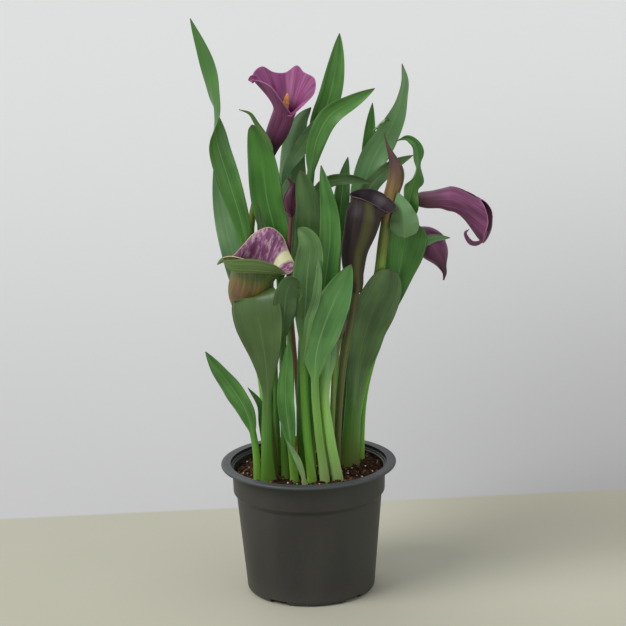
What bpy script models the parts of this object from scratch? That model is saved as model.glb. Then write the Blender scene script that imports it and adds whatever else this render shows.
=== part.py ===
# Potted calla lily: a nursery pot of potting mix, four tubers in it, and the leaves and
# flowers that grow from them.  Metres, +Z up, +X to the viewer's right, +Y away.
# The origin is the middle of the pot's flat underside.
#
# Each leaf is one closed loft from a round stalk to a thin folded blade.  Each flower is
# a stem, a rolled bract (the spathe) and, where the bract is open, the spadix inside it.
import math

import bmesh
import bpy
import numpy as np

for old_object in list(bpy.data.objects):
    bpy.data.objects.remove(old_object, do_unlink=True)

mm = 0.001

# ---- Driving dimensions -------------------------------------------------------------
# Pot
rim_radius = 0.076
rim_width = 0.0065          # from the outer edge of the lip to the wall below it
rim_thickness = 0.0028
pot_height = 0.1145
collar_radius = 0.0664
collar_depth = 0.026        # from the rim down to the step
collar_taper = 0.0006       # from under the lip down to the step
step_width = 0.0035
step_height = 0.005
base_radius = 0.0560
base_corner = 0.0045
wall = 0.0013
floor_thickness = 0.0018
drain_count = 5
drain_angle = -31.0         # of the first notch, from the front, in degrees
drain_width = 0.017
drain_height = 0.0038
drain_reach = 0.0075        # inwards from the base's edge

# What the pot holds
soil_below_rim = 0.0105
soil_crown = 0.0015         # the middle stands this much above the edge
tuber_radius = 0.017
tuber_thickness = 0.022
tuber_below_soil = 0.034    # soil surface to the tuber's top
knee_depth = 0.004          # below the soil's edge, where a stalk starts to lean
free_height = 0.012         # above it, where a stalk is on its own route
socket_height = 0.006       # above it, where a stalk's hole in the mix may end
gap = 0.0003                # between neighbours that touch
pot_sides = 36              # flat facets round the pot and the mix
tuber_sides = 12

# Foliage: routes are in millimetres, with heights above the soil's edge, and are drawn
# for this height from the soil to the highest tip
foliage_height = 0.396
drawn_height = 0.396
blade_thickness = 0.0010
bract_thickness = 0.0009
stem_radius = 0.0031
spadix_radius = 0.0021

soil_top = pot_height - soil_below_rim
tuber_top = soil_top - tuber_below_soil
rise = foliage_height / drawn_height
body_top_radius = collar_radius - step_width
shoulder = pot_height - collar_depth


def room_at(height):
    """The radius inside the pot's tapered wall, at a height between its floor and its step."""
    share = (height - base_corner) / (shoulder - step_height - base_corner)
    return base_radius - wall + share * (body_top_radius - base_radius)


# The feet of the stalks keep their places within the pot: they are drawn for this radius there
drawn_room = 0.06042
foot_spread = room_at(tuber_top) / drawn_room


# ---- Scene helpers ------------------------------------------------------------------
parts = bpy.data.collections.new("potted_calla_lily")
cutters = bpy.data.collections.new("cutters")
bpy.context.scene.collection.children.link(parts)
bpy.context.scene.collection.children.link(cutters)


def material(name, colour, roughness):
    made = bpy.data.materials.new(name)
    made.use_nodes = True
    shader = made.node_tree.nodes["Principled BSDF"]
    shader.inputs["Base Color"].default_value = (*colour, 1.0)
    shader.inputs["Roughness"].default_value = roughness
    shader.inputs["Metallic"].default_value = 0.0
    return made


def add_part(made, colour, roughness):
    parts.objects.link(made)
    made.data.materials.append(material(made.name + "_finish", colour, roughness))
    return made


def add_cutter(made):
    cutters.objects.link(made)
    made.hide_render = True
    made.display_type = "WIRE"
    return made


def subtract(target, cutter):
    cut = target.modifiers.new("cut_" + cutter.name, "BOOLEAN")
    cut.operation = "DIFFERENCE"
    cut.solver = "EXACT"
    cut.object = cutter


def shade(mesh, angle=40.0):
    mesh.shade_smooth()
    mesh.set_sharp_from_angle(angle=math.radians(angle))


straight_up = np.array([0.0, 0.0, 1.0])


# ---- Paths and lofts ----------------------------------------------------------------
def unit(vectors):
    return vectors / np.maximum(np.linalg.norm(vectors, axis=-1, keepdims=True), 1e-12)


def smooth_path(points, shares):
    """A Catmull-Rom curve through the points, read at the given shares of its length."""
    points = np.asarray(points, float)
    knots = np.concatenate([[0.0], np.cumsum(np.linalg.norm(np.diff(points, axis=0), axis=1) ** 0.5)])
    slopes = np.gradient(points, knots, axis=0)
    fine = np.linspace(0.0, knots[-1], 40 * len(points))
    span = np.clip(np.searchsorted(knots, fine, side="right") - 1, 0, len(points) - 2)
    width = (knots[span + 1] - knots[span])[:, None]
    q = (fine - knots[span])[:, None] / width
    curve = ((2 * q**3 - 3 * q**2 + 1) * points[span] + (q**3 - 2 * q**2 + q) * width * slopes[span]
             + (3 * q**2 - 2 * q**3) * points[span + 1] + (q**3 - q**2) * width * slopes[span + 1])
    along = np.concatenate([[0.0], np.cumsum(np.linalg.norm(np.diff(curve, axis=0), axis=1))])
    wanted = np.asarray(shares) * along[-1]
    return np.stack([np.interp(wanted, along, curve[:, axis]) for axis in range(3)], axis=1)


def frames(path, first_side, turn=0.0, first_tangent=None):
    """Side and face directions along a path, carried without spin and then turned."""
    lengths = np.concatenate([[0.0], np.cumsum(np.linalg.norm(np.diff(path, axis=0), axis=1))])
    tangents = unit(np.gradient(path, lengths, axis=0))
    if first_tangent is not None:
        tangents[0] = first_tangent
    side = np.asarray(first_side, float)
    sides = np.empty_like(path)
    for station, tangent in enumerate(tangents):
        side = side - tangent * side.dot(tangent)
        side = side / np.linalg.norm(side)
        sides[station] = side
    faces = np.cross(sides, tangents)
    turn = np.broadcast_to(np.radians(turn), len(path))[:, None]
    turned = sides * np.cos(turn) + faces * np.sin(turn)
    return tangents, turned, np.cross(turned, tangents)


def ring_mesh(name, rings, first_pole=None, last_pole=None):
    """A closed tube of rings; each end is a pole, or a flat cap where there is no pole."""
    count, sides = rings.shape[0], rings.shape[1]
    vertices = [tuple(point) for point in rings.reshape(-1, 3)]
    faces = []
    for ring in range(count - 1):
        for spoke in range(sides):
            across = (spoke + 1) % sides
            low, high = ring * sides, (ring + 1) * sides
            faces.append((low + spoke, low + across, high + across, high + spoke))
    last = (count - 1) * sides
    if first_pole is None:
        faces.append(tuple(reversed(range(sides))))
    else:
        vertices.append(tuple(first_pole))
        pole = len(vertices) - 1
        faces += [((spoke + 1) % sides, spoke, pole) for spoke in range(sides)]
    if last_pole is None:
        faces.append(tuple(last + spoke for spoke in range(sides)))
    else:
        vertices.append(tuple(last_pole))
        pole = len(vertices) - 1
        faces += [(last + spoke, last + (spoke + 1) % sides, pole) for spoke in range(sides)]
    mesh = bpy.data.meshes.new(name)
    mesh.from_pydata(vertices, [], faces)
    work = bmesh.new()
    work.from_mesh(mesh)
    bmesh.ops.recalc_face_normals(work, faces=work.faces)
    work.to_mesh(mesh)
    work.free()
    return mesh


def planted(route):
    """A route in metres that starts straight down in the mix, just clear of a tuber's top."""
    points = np.asarray(route, float) * mm
    points[:, 2] = points[:, 2] * rise + soil_top
    x, y = points[0, :2] * foot_spread
    above = points[points[:, 2] > soil_top + free_height]
    return np.vstack([(x, y, tuber_top + gap), (x, y, soil_top - knee_depth), above])


sockets = []


def add_socket(name, path, radius):
    """Keeps the route and size of what stands in the mix, for the hole it stands in."""
    stations = 2 + int(np.sum(path[:, 2] < soil_top + socket_height))
    sockets.append((name + "_socket", path[:stations], radius + gap))


def leaf(name, route, width, stalk, blade_from, facing=0.0, twists=(0, 0), fold=0.3, bulge=0.45,
         colour=(0.075, 0.19, 0.05)):
    """A stalk of the given radius that spreads into a blade from the share blade_from on.

    A section's points are side * h * cos(a) + face * (t * sin(a) + fold * h * |cos(a)|).
    Along the blade, with q from 0 to 1, h is the rounded sum of the stalk, which fades out,
    and of an outline that is width / 2 at q = bulge and closes at the tip.
    """
    along = np.concatenate([np.linspace(0.0, blade_from, 6)[:-1], np.linspace(blade_from, 1.0, 10)])
    path = smooth_path(planted(route), along)
    q = np.clip((along - blade_from) / (1.0 - blade_from), 0.0, 1.0)
    turn = np.interp(q, np.linspace(0.0, 1.0, len(twists)), twists)
    heading = math.radians(facing)
    tangents, sides, faces = frames(path, (math.cos(heading), math.sin(heading), 0.0), turn, straight_up)
    climb = 0.8 * bulge / (1.0 - bulge)
    outline = (q / bulge) ** climb * ((1.0 - q) / (1.0 - bulge)) ** 0.8
    half_width = np.hypot(stalk * (1.0 - q), 0.5 * width * outline)
    half_thick = 0.5 * blade_thickness + (stalk - 0.5 * blade_thickness) * (1.0 - q) ** 4
    keel = fold * np.clip(q * 3.0, 0.0, 1.0)
    around = np.radians(np.arange(0, 360, 60))[None, :, None]
    h = half_width[:, None, None]
    t = half_thick[:, None, None]
    rings = (path[:, None] + sides[:, None] * h * np.cos(around)
             + faces[:, None] * (t * np.sin(around) + keel[:, None, None] * h * np.abs(np.cos(around))))
    mesh = ring_mesh(name, rings[:-1], last_pole=path[-1])
    shade(mesh)
    add_part(bpy.data.objects.new(name, mesh), colour, 0.5)
    add_socket(name, path, stalk)


def stem(name, route, radius=None, colour=(0.16, 0.24, 0.06)):
    """A round flower stem from the mix; gives back its last point and its direction there."""
    radius = radius or stem_radius
    path = smooth_path(planted(route), np.linspace(0.0, 1.0, 13))
    curve = bpy.data.curves.new(name, "CURVE")
    curve.dimensions = "3D"
    curve.bevel_depth = radius
    curve.bevel_resolution = 2
    curve.use_fill_caps = True
    spline = curve.splines.new("POLY")
    spline.points.add(len(path) - 1)
    spline.points.foreach_set("co", np.column_stack([path, np.ones(len(path))]).ravel())
    add_part(bpy.data.objects.new(name, curve), colour, 0.45)
    add_socket(name, path, radius)
    return path[-1], unit(path[-1] - path[-2])


def spadix(name, axis, length, colour=(0.6, 0.3, 0.06)):
    """A blunt finger that stands on the floor of its bract and follows the bract's axis."""
    steps = np.linspace(0.0, 1.0, 9)[:-1]
    radii = spadix_radius * np.sqrt(1.0 - steps**4) * (0.75 + 0.25 * np.sin(np.pi * steps))
    whole = np.sum(np.linalg.norm(np.diff(axis, axis=0), axis=1))
    path = smooth_path(axis, np.append(steps, 1.0) * length / whole)
    tangents, sides, faces = frames(path, (0.6, 0.8, 0.0), first_tangent=unit(axis[1] - axis[0]))
    around = np.radians(np.arange(0, 360, 60))[None, :, None]
    rings = path[:-1, None] + radii[:, None, None] * (sides[:-1, None] * np.cos(around)
                                                      + faces[:-1, None] * np.sin(around))
    mesh = ring_mesh(name, rings, last_pole=path[-1])
    shade(mesh)
    add_part(bpy.data.objects.new(name, mesh), colour, 0.6)


def bract(name, start, direction, route, radii, lip, tip_towards, tip, dip, squash=1.0,
          colour=(0.15, 0.03, 0.09)):
    """An open funnel from the stem's end through the route, with a flared lip.

    Its rings have the radii given from the throat to the mouth.  Past the mouth the lip
    goes outwards by lip[0] and on along the axis by lip[1], times a reach that grows to
    1 + tip towards the tip's side and shrinks to 1 - dip on the other side.  Gives back the
    axis that a spadix follows.
    """
    heart = start + direction * gap
    points = np.asarray(route, float) * mm
    points[:, 2] = points[:, 2] * rise + soil_top
    along = np.linspace(0.0, 1.0, 8)
    path = smooth_path(np.vstack([heart, heart + direction * 0.005, points]), along)
    tangents, sides, faces = frames(path, (1.0, 0.0, 0.02), first_tangent=direction)
    throat = np.interp(along, np.linspace(0.0, 1.0, len(radii)), np.asarray(radii) * mm)
    towards = unit(np.asarray(tip_towards, float))
    tip_angle = math.atan2(towards.dot(faces[-1]), towards.dot(sides[-1]))
    around = np.radians(np.arange(0, 360, 24))
    lean = np.cos(around - tip_angle)
    reach = 1.0 + tip * np.clip(lean, 0.0, 1.0) ** 5 - dip * np.clip(-lean, 0.0, 1.0) ** 2
    outward = (sides[:, None] * np.cos(around)[None, :, None]
               + squash * faces[:, None] * np.sin(around)[None, :, None])
    rings = path[:, None] + outward * throat[:, None, None]
    flare = []
    for share in (0.35, 0.7, 1.0):
        out = lip[0] * mm * reach * (share ** 1.4)
        up = lip[1] * mm * reach * math.sin(share * math.pi * 0.62)
        flare.append(rings[-1] + outward[-1] * out[:, None] + tangents[-1] * up[:, None])
    rings = np.concatenate([rings, np.array(flare)])
    count, spokes = rings.shape[0], rings.shape[1]
    vertices = [tuple(point) for point in rings.reshape(-1, 3)] + [tuple(path[0])]
    quads = [(ring * spokes + spoke, (ring + 1) * spokes + spoke,
              (ring + 1) * spokes + (spoke + 1) % spokes, ring * spokes + (spoke + 1) % spokes)
             for ring in range(count - 1) for spoke in range(spokes)]
    floor = [(spoke, (spoke + 1) % spokes, len(vertices) - 1) for spoke in range(spokes)]
    mesh = bpy.data.meshes.new(name)
    mesh.from_pydata(vertices, [], quads + floor)
    shade(mesh, 60.0)
    made = add_part(bpy.data.objects.new(name, mesh), colour, 0.4)
    shell = made.modifiers.new("thickness", "SOLIDIFY")
    shell.thickness = bract_thickness
    shell.offset = -1.0
    floor = heart + direction * (bract_thickness + gap)
    return np.vstack([floor, floor + direction * 0.004, path[2:]])


def bud(name, start, direction, route, radii, colour=(0.13, 0.06, 0.05)):
    """A bract that is still rolled shut: a solid spindle drawn out to a point."""
    heart = start + direction * gap
    points = np.asarray(route, float) * mm
    points[:, 2] = points[:, 2] * rise + soil_top
    along = np.linspace(0.0, 1.0, 11)
    path = smooth_path(np.vstack([heart, heart + direction * 0.004, points]), along)
    tangents, sides, faces = frames(path, (1.0, 0.0, 0.02), first_tangent=direction)
    swell = np.interp(along, np.linspace(0.0, 1.0, len(radii)), np.asarray(radii) * mm)
    around = np.radians(np.arange(0, 360, 45))[None, :, None]
    rings = path[:, None] + swell[:, None, None] * (sides[:, None] * np.cos(around)
                                                    + faces[:, None] * np.sin(around))
    mesh = ring_mesh(name, rings[:-1], last_pole=path[-1])
    shade(mesh)
    add_part(bpy.data.objects.new(name, mesh), colour, 0.45)


# ---- Turned shapes ------------------------------------------------------------------
def turned(name, profile, steps):
    """A profile of (radius, height) points as an object that a Screw carries round Z.

    The profile runs down the outer side, top to bottom, and ends on the axis or closes.
    """
    mesh = bpy.data.meshes.new(name)
    vertices = [(radius, 0.0, height) for radius, height in profile]
    edges = [(i, i + 1) for i in range(len(vertices) - 1)]
    mesh.from_pydata(vertices, edges, [])
    made = bpy.data.objects.new(name, mesh)
    screw = made.modifiers.new("turn", "SCREW")
    screw.axis = "Z"
    screw.steps = steps
    screw.render_steps = steps
    screw.use_merge_vertices = True
    screw.merge_threshold = 0.00005
    screw.use_smooth_shade = True
    return made


def corner(centre_radius, centre_height, radius, start, end, count):
    """Points of a rounded corner, from one angle to another in degrees."""
    angles = np.radians(np.linspace(start, end, count))
    return [(centre_radius + radius * math.cos(a), centre_height + radius * math.sin(a)) for a in angles]


# ---- Pot ----------------------------------------------------------------------------
def pot_profile():
    """From the floor's middle up the inside, over the rim and down the outside."""
    bend = base_corner - wall
    collar_foot = collar_radius - collar_taper
    inner_rim = rim_radius - rim_width
    inside = [(0.0, floor_thickness)]
    inside += corner(base_radius - base_corner, floor_thickness + bend, bend, -90, 0, 3)
    inside += [(body_top_radius - wall, shoulder - step_height), (collar_foot - wall, shoulder)]
    inside += [(collar_radius - wall, pot_height - rim_thickness), (inner_rim, pot_height)]
    roll = rim_thickness / 2
    outside = corner(rim_radius - roll, pot_height - roll, roll, 90, -90, 5)
    outside += [(collar_radius, pot_height - rim_thickness), (collar_foot, shoulder)]
    outside += [(body_top_radius, shoulder - step_height)]
    outside += corner(base_radius - base_corner, base_corner, base_corner, 0, -90, 4)
    outside += [(0.0, 0.0)]
    return inside + outside


def build_pot():
    pot = add_part(turned("nursery_pot", pot_profile(), pot_sides), (0.035, 0.034, 0.032), 0.5)
    for index in range(drain_count):
        work = bmesh.new()
        bmesh.ops.create_cube(work, size=1.0)
        bmesh.ops.scale(work, vec=(2 * drain_reach, drain_width, 2 * drain_height), verts=work.verts)
        bmesh.ops.translate(work, vec=(base_radius, 0.0, 0.0), verts=work.verts)
        notch = bpy.data.meshes.new("drain_notch_%d" % (index + 1))
        work.to_mesh(notch)
        work.free()
        cutter = add_cutter(bpy.data.objects.new(notch.name, notch))
        turn = drain_angle + index * 360.0 / drain_count - 90.0
        cutter.rotation_euler = (0.0, 0.0, math.radians(turn))
        subtract(pot, cutter)


# ---- Potting mix and tubers ---------------------------------------------------------
# Each tuber's direction from +X in degrees, and its share of the way from the middle to the wall
tuber_places = [(207.0, 0.90), (293.0, 0.74), (34.0, 0.93), (122.0, 0.785)]
tuber_reach = room_at(tuber_top - tuber_thickness) - 2 * gap - tuber_radius


def tuber_shape(name, extra=0.0):
    """A thick disc with a round edge, flat on top; extra grows it on every side."""
    edge = tuber_thickness / 2 + extra
    middle = tuber_top - tuber_thickness / 2
    outline = corner(tuber_radius - tuber_thickness / 2, middle, edge, 90, -90, 7)
    return turned(name, [(0.0, middle + edge)] + outline + [(0.0, middle - edge)], tuber_sides)


def seat_tuber(made, direction, share):
    heading = math.radians(direction)
    made.location = (share * tuber_reach * math.cos(heading), share * tuber_reach * math.sin(heading), 0.0)


def build_tubers():
    for index, place in enumerate(tuber_places, start=1):
        seat_tuber(add_part(tuber_shape("tuber_%d" % index), (0.25, 0.13, 0.05), 0.8), *place)


def build_soil():
    """The mix fills the pot up to a low crown, with room for the tubers and the stalks."""
    low = floor_thickness + gap
    inner_corner = base_corner - wall
    top_radius = collar_radius - collar_taper - wall - gap
    low_radius = base_radius - wall - gap
    profile = [(0.0, soil_top + soil_crown), (0.45 * top_radius, soil_top + soil_crown)]
    profile += [(0.80 * top_radius, soil_top + 0.4 * soil_crown), (top_radius, soil_top)]
    profile += [(top_radius, shoulder + 0.001), (body_top_radius - wall - gap, shoulder - step_height)]
    profile += [(low_radius, low + inner_corner), (low_radius - inner_corner, low), (0.0, low)]
    soil = add_part(turned("potting_mix", profile, pot_sides), (0.045, 0.022, 0.012), 0.95)
    for index, place in enumerate(tuber_places, start=1):
        pocket = add_cutter(tuber_shape("tuber_pocket_%d" % index, gap))
        seat_tuber(pocket, *place)
        subtract(soil, pocket)
    for name, path, radius in sockets:
        foot = path[0] - 2 * gap * straight_up
        path = np.vstack([foot, path[1:]])
        tangents, sides, faces = frames(path, (1.0, 0.0, 0.0), first_tangent=straight_up)
        around = np.radians(np.arange(0, 360, 60))[None, :, None]
        rings = path[:, None] + radius / math.cos(math.pi / 6) * (sides[:, None] * np.cos(around)
                                                                  + faces[:, None] * np.sin(around))
        subtract(soil, add_cutter(bpy.data.objects.new(name, ring_mesh(name, rings))))


# ---- Leaves -------------------------------------------------------------------------
dark_leaf = (0.04, 0.10, 0.03)
pale_leaf = (0.13, 0.24, 0.11)
dry_leaf = (0.22, 0.13, 0.05)


def build_leaves():
    leaf("leaf_tall_left", [(-36, -7, 0), (-36, -5, 69), (-42, 0, 130), (-49, 1, 208), (-62, -2, 260),
                            (-71, -4, 294), (-72, -6, 324), (-77, -6, 358), (-89, -8, 396)],
         width=0.020, stalk=0.0030, blade_from=0.52, twists=(0, 0, -10, -90, -170, -180))
    leaf("leaf_pale_left", [(-38, 5, 0), (-38, 8, 64), (-48, 10, 135), (-59, 9, 186), (-66, 8, 219),
                            (-70, 8, 249), (-72, 8, 283)],
         width=0.018, stalk=0.0028, blade_from=0.5, fold=0.2, colour=pale_leaf)
    leaf("leaf_spike_left", [(-29, 9, 0), (-33, 9, 83), (-45, 7, 154), (-50, 5, 211), (-50, 4, 250)],
         width=0.005, stalk=0.0018, blade_from=0.6, colour=dark_leaf)
    leaf("leaf_centre_left", [(-19, 4, 0), (-20, 5, 65), (-20, 4, 137), (-23, 3, 206), (-30, 3, 241),
                              (-33, 1, 271), (-37, -1, 293), (-41, -3, 306)],
         width=0.026, stalk=0.0032, blade_from=0.6, bulge=0.42)
    leaf("leaf_behind_hood", [(-28, -6, 0), (-27, -4, 112), (-31, -5, 182), (-35, -6, 219), (-38, -6, 239)],
         width=0.010, stalk=0.0022, blade_from=0.7, fold=0.1, colour=dark_leaf)
    leaf("leaf_upper_middle", [(0, 28, 0), (0, 22, 131), (4, 16, 237), (16, 14, 302), (25, 13, 327),
                               (31, 12, 355), (34, 10, 379)],
         width=0.019, stalk=0.0030, blade_from=0.74, fold=0.4)
    leaf("leaf_upper_right", [(3, 0, 0), (2, 0, 65), (3, -2, 189), (7, -2, 259), (13, -3, 292),
                              (25, -4, 313), (43, -6, 324), (62, -10, 335)],
         width=0.017, stalk=0.0032, blade_from=0.76, fold=0.4)
    leaf("leaf_upper_pale", [(-16, 24, 0), (-13, 24, 130), (-12, 26, 201), (-10, 26, 248), (-9, 26, 270),
                             (-6, 25, 289), (0, 23, 305), (9, 20, 316)],
         width=0.025, stalk=0.0032, blade_from=0.58, fold=-0.3, bulge=0.55, colour=pale_leaf)
    leaf("leaf_tall_right", [(32, 31, 0), (35, 30, 60), (40, 25, 114), (46, 18, 185), (51, 17, 236),
                             (54, 17, 253), (61, 16, 272), (71, 14, 289), (80, 12, 308), (85, 12, 323),
                             (88, 13, 337), (86, 14, 352)],
         width=0.026, stalk=0.0034, blade_from=0.62, twists=(0, 0, 0, -30, -62, -50), fold=0.15,
         bulge=0.35)
    leaf("leaf_behind_tall_right", [(22, 41, 0), (30, 39, 80), (44, 36, 145), (54, 29, 234), (57, 27, 278),
                                    (59, 27, 299), (61, 25, 318)],
         width=0.011, stalk=0.0024, blade_from=0.78)
    leaf("leaf_wavy_right", [(46, 26, 0), (50, 25, 60), (64, 20, 115), (80, 17, 165), (85, 12, 205),
                             (88, 3, 226), (91, -6, 245), (94, -12, 259), (97, -14, 272), (95, -14, 288),
                             (88, -15, 294), (79, -18, 292)],
         width=0.015, stalk=0.0026, blade_from=0.62, twists=(0, 20, -10, -40, 30))
    leaf("leaf_behind_bud", [(23, 32, 0), (27, 29, 60), (38, 14, 148), (50, 5, 220), (57, 4, 249),
                             (68, 4, 261), (79, 4, 269), (94, 4, 276)],
         width=0.014, stalk=0.0024, blade_from=0.74, fold=0.2)
    leaf("leaf_dark_horizontal", [(13, 10, 0), (11, 2, 100), (10, -6, 180), (8, -12, 225), (12, -14, 248),
                                  (22, -14, 258), (40, -14, 260), (58, -14, 256)],
         width=0.010, stalk=0.0024, blade_from=0.8, colour=dark_leaf)
    leaf("leaf_small_pointed", [(24, 14, 0), (27, 8, 133), (30, 4, 204), (32, 2, 231), (35, 2, 256),
                                (39, 2, 276)],
         width=0.014, stalk=0.0024, blade_from=0.74)
    leaf("leaf_front_centre", [(12, -17, 0), (11, -28, 73), (12, -34, 136), (18, -37, 183), (22, -38, 213),
                               (22, -38, 237), (19, -37, 258), (16, -36, 276)],
         width=0.019, stalk=0.0030, blade_from=0.55, fold=0.25)
    leaf("leaf_dark_centre", [(-6, -13, 0), (-5, -20, 72), (-1, -27, 143), (3, -30, 195), (5, -30, 225),
                              (5, -30, 242), (2, -30, 257), (-1, -30, 271)],
         width=0.024, stalk=0.0040, blade_from=0.55, fold=0.15, bulge=0.55, colour=dark_leaf)
    leaf("leaf_front_folded", [(3, -31, 0), (-1, -38, 51), (-2, -44, 104), (-1, -47, 139), (1, -47, 165),
                               (3, -46, 190), (5, -45, 203), (5, -45, 212), (2, -44, 219), (-4, -42, 225)],
         width=0.024, stalk=0.0036, blade_from=0.6, fold=0.2, bulge=0.5)
    leaf("leaf_front_right", [(14, -31, 0), (9, -42, 51), (7, -50, 92), (9, -54, 122), (17, -56, 148),
                              (28, -58, 174), (39, -60, 197)],
         width=0.030, stalk=0.0034, blade_from=0.56, fold=0.2, bulge=0.5)
    leaf("leaf_front_left", [(-35, -25, 0), (-35, -38, 43), (-33, -47, 88), (-34, -50, 115), (-37, -53, 140),
                             (-40, -54, 160), (-41, -50, 169), (-43, -45, 167)],
         width=0.035, stalk=0.0042, blade_from=0.52, fold=0.15, bulge=0.62, colour=dark_leaf)
    leaf("leaf_arching", [(-20, -21, 0), (-20, -28, 73), (-19, -40, 128), (-17, -52, 155),
                          (-15, -58, 173), (-10, -61, 183), (-4, -64, 183), (-2, -67, 175),
                          (-5, -68, 167)],
         width=0.019, stalk=0.0030, blade_from=0.68, fold=0.1)
    leaf("leaf_small_front", [(-12, -29, 0), (-15, -42, 43), (-18, -50, 80), (-17, -53, 102), (-15, -55, 118),
                              (-14, -56, 133)],
         width=0.014, stalk=0.0030, blade_from=0.42, fold=0.15)
    leaf("leaf_far_left", [(-44, -25, 0), (-45, -34, 36), (-51, -39, 66), (-62, -42, 88), (-74, -44, 106),
                           (-84, -46, 122)],
         width=0.016, stalk=0.0028, blade_from=0.5)
    leaf("leaf_stub_left", [(-36, -15, 0), (-38, -24, 51), (-40, -27, 70), (-50, -28, 85)],
         width=0.007, stalk=0.0020, blade_from=0.5)
    leaf("leaf_big_right", [(36, 13, 0), (38, 12, 32), (42, 8, 75), (48, 1, 112), (57, -5, 142),
                            (67, -9, 164), (73, -8, 181)],
         width=0.034, stalk=0.0072, blade_from=0.42, fold=0.2, bulge=0.58)
    leaf("leaf_broad_right", [(38, 25, 0), (44.5, 20.5, 48), (51.5, 16.5, 80), (63, 11, 112),
                              (71, 8, 135), (78, 7, 160), (82, 6, 180), (85, 4, 196), (88, 0, 210),
                              (93, -4, 221)],
         width=0.034, stalk=0.0030, blade_from=0.55, fold=0.2, bulge=0.72)
    leaf("leaf_thin_right", [(41, 34, 0), (47, 34, 60), (62, 31, 115), (81, 25, 165), (92, 18, 190),
                             (99, 14, 198), (111, 12, 203), (125, 10, 203)],
         width=0.012, stalk=0.0022, blade_from=0.75)
    leaf("leaf_pale_stalk", [(25, -27, 0), (19, -38, 41), (15, -42, 81), (20, -44, 112), (22, -46, 134),
                             (29, -48, 154)],
         width=0.010, stalk=0.0040, blade_from=0.7, colour=pale_leaf)
    leaf("shoot_left", [(-3, -38, 0), (-8, -44, 22), (-18, -47, 44)],
         width=0.005, stalk=0.0018, blade_from=0.5)
    leaf("shoot_right", [(20, -20, 0), (17, -24, 16), (15, -26, 34)],
         width=0.004, stalk=0.0016, blade_from=0.5)
    leaf("dry_sheath", [(-12, -20, 0), (-13, -26, 26), (-14, -30, 52)],
         width=0.008, stalk=0.0022, blade_from=0.5, colour=dry_leaf)


# ---- Flowers ------------------------------------------------------------------------
purple = (0.15, 0.03, 0.09)
mauve = (0.32, 0.08, 0.20)
black_purple = (0.03, 0.015, 0.02)
brown_purple = (0.13, 0.06, 0.05)


def build_flowers():
    end, way = stem("stem_open_flower", [(-27, 14, 0), (-29, 15, 70), (-38, 16, 140), (-45, 16, 210),
                                         (-39, 16, 242), (-30, 15, 270)])
    axis = bract("bract_open_flower", end, way, [(-21, 15, 297), (-15, 12, 318), (-12, 4, 331)],
                 radii=(3.5, 4.5, 6.5, 8.0, 10.0), lip=(15, 6), tip_towards=(-1, 0, 0.3), tip=0.3,
                 dip=0.2, colour=mauve)
    spadix("spadix_open_flower", axis, 0.045)

    end, way = stem("stem_hanging_flower", [(30, 40, 0), (38, 39, 60), (55, 37, 110), (71, 31, 160),
                                            (77, 21, 200), (80, 17, 218), (84, 14, 229),
                                            (90, 12, 235), (95, 11, 236)])
    axis = bract("bract_hanging_flower", end, way, [(108, 8, 238), (122, 5, 238), (135, 5, 235),
                                                    (148, 5, 228)],
                 radii=(4.4, 6.6, 7.4, 8.2, 11.5, 14.5), lip=(4, 6), tip_towards=(-0.3, 0, -1),
                 tip=1.2, dip=0.3, colour=purple)
    spadix("spadix_hanging_flower", axis, 0.034)

    end, way = stem("stem_dark_flower", [(24, -8, 0), (27, -14, 60), (33, -19, 105), (39, -22, 140),
                                         (43, -23, 166)])
    axis = bract("bract_dark_flower", end, way, [(42, -23, 183), (44, -23, 204), (50, -24, 222),
                                                 (55, -25, 238)],
                 radii=(3.6, 8.5, 10.5, 12.5, 14.5), lip=(3.5, 3), tip_towards=(1, 0, 0.2), tip=0.5,
                 dip=0.3, squash=0.9, colour=black_purple)
    spadix("spadix_dark_flower", axis, 0.040)

    end, way = stem("stem_striped_hood", [(-29, -14, 0), (-33, -18, 60), (-40, -23, 110), (-44, -25, 138)])
    axis = bract("bract_striped_hood", end, way, [(-51, -25, 155), (-53, -27, 172), (-46, -31, 189)],
                 radii=(3.5, 8.5, 13.0, 16.5, 20.0), lip=(4, 7), tip_towards=(0.75, 0.6, 0.2), tip=1.2,
                 dip=0.2, squash=0.8, colour=mauve)
    spadix("spadix_striped_hood", axis, 0.030)

    end, way = stem("stem_pointed_bud", [(28, 23, 0), (32, 22, 60), (45, 14, 115), (57, 8, 150),
                                         (63, -1, 173), (67, -6, 203), (70, -7, 222)], radius=0.0044)
    bud("bract_pointed_bud", end, way, [(75, -8, 246), (79, -9, 264), (72, -10, 287),
                                        (69, -10, 298)],
        radii=(4.6, 5.6, 6.4, 7.2, 6.0, 3.0, 1.4, 0.5), colour=brown_purple)

    end, way = stem("stem_nodding_flower", [(38, 40, 0), (46, 44, 60), (62, 43, 115), (82, 37, 165),
                                            (92, 31, 190), (97, 28, 199)])
    bud("bract_nodding_flower", end, way, [(103, 26, 201), (109, 25, 195), (115, 24, 186), (119, 24, 176),
                                           (120, 24, 166)],
        radii=(3.2, 7.5, 11.5, 12.5, 9.0, 4.0, 0.5), colour=purple)

    end, way = stem("stem_curled_bloom", [(-5, 5, 0), (-9, -2, 90), (-13, -8, 170), (-12, -8, 205),
                                          (-10, -8, 228)], radius=0.0020)
    bud("bract_curled_bloom", end, way, [(-11, -9, 243), (-8, -10, 256), (-12, -12, 262)],
        radii=(2.2, 5.5, 6.2, 4.5, 2.5, 0.8), colour=purple)

    end, way = stem("stem_small_bud", [(19, -14, 0), (21, -21, 50), (24, -30, 100), (28, -34, 128)],
                    radius=0.0022)
    bud("bract_small_bud", end, way, [(31, -34, 146), (33, -34, 162)],
        radii=(2.2, 4.4, 4.2, 2.5, 0.6), colour=purple)


build_pot()
build_tubers()
build_leaves()
build_flowers()
build_soil()
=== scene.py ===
import math

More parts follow.
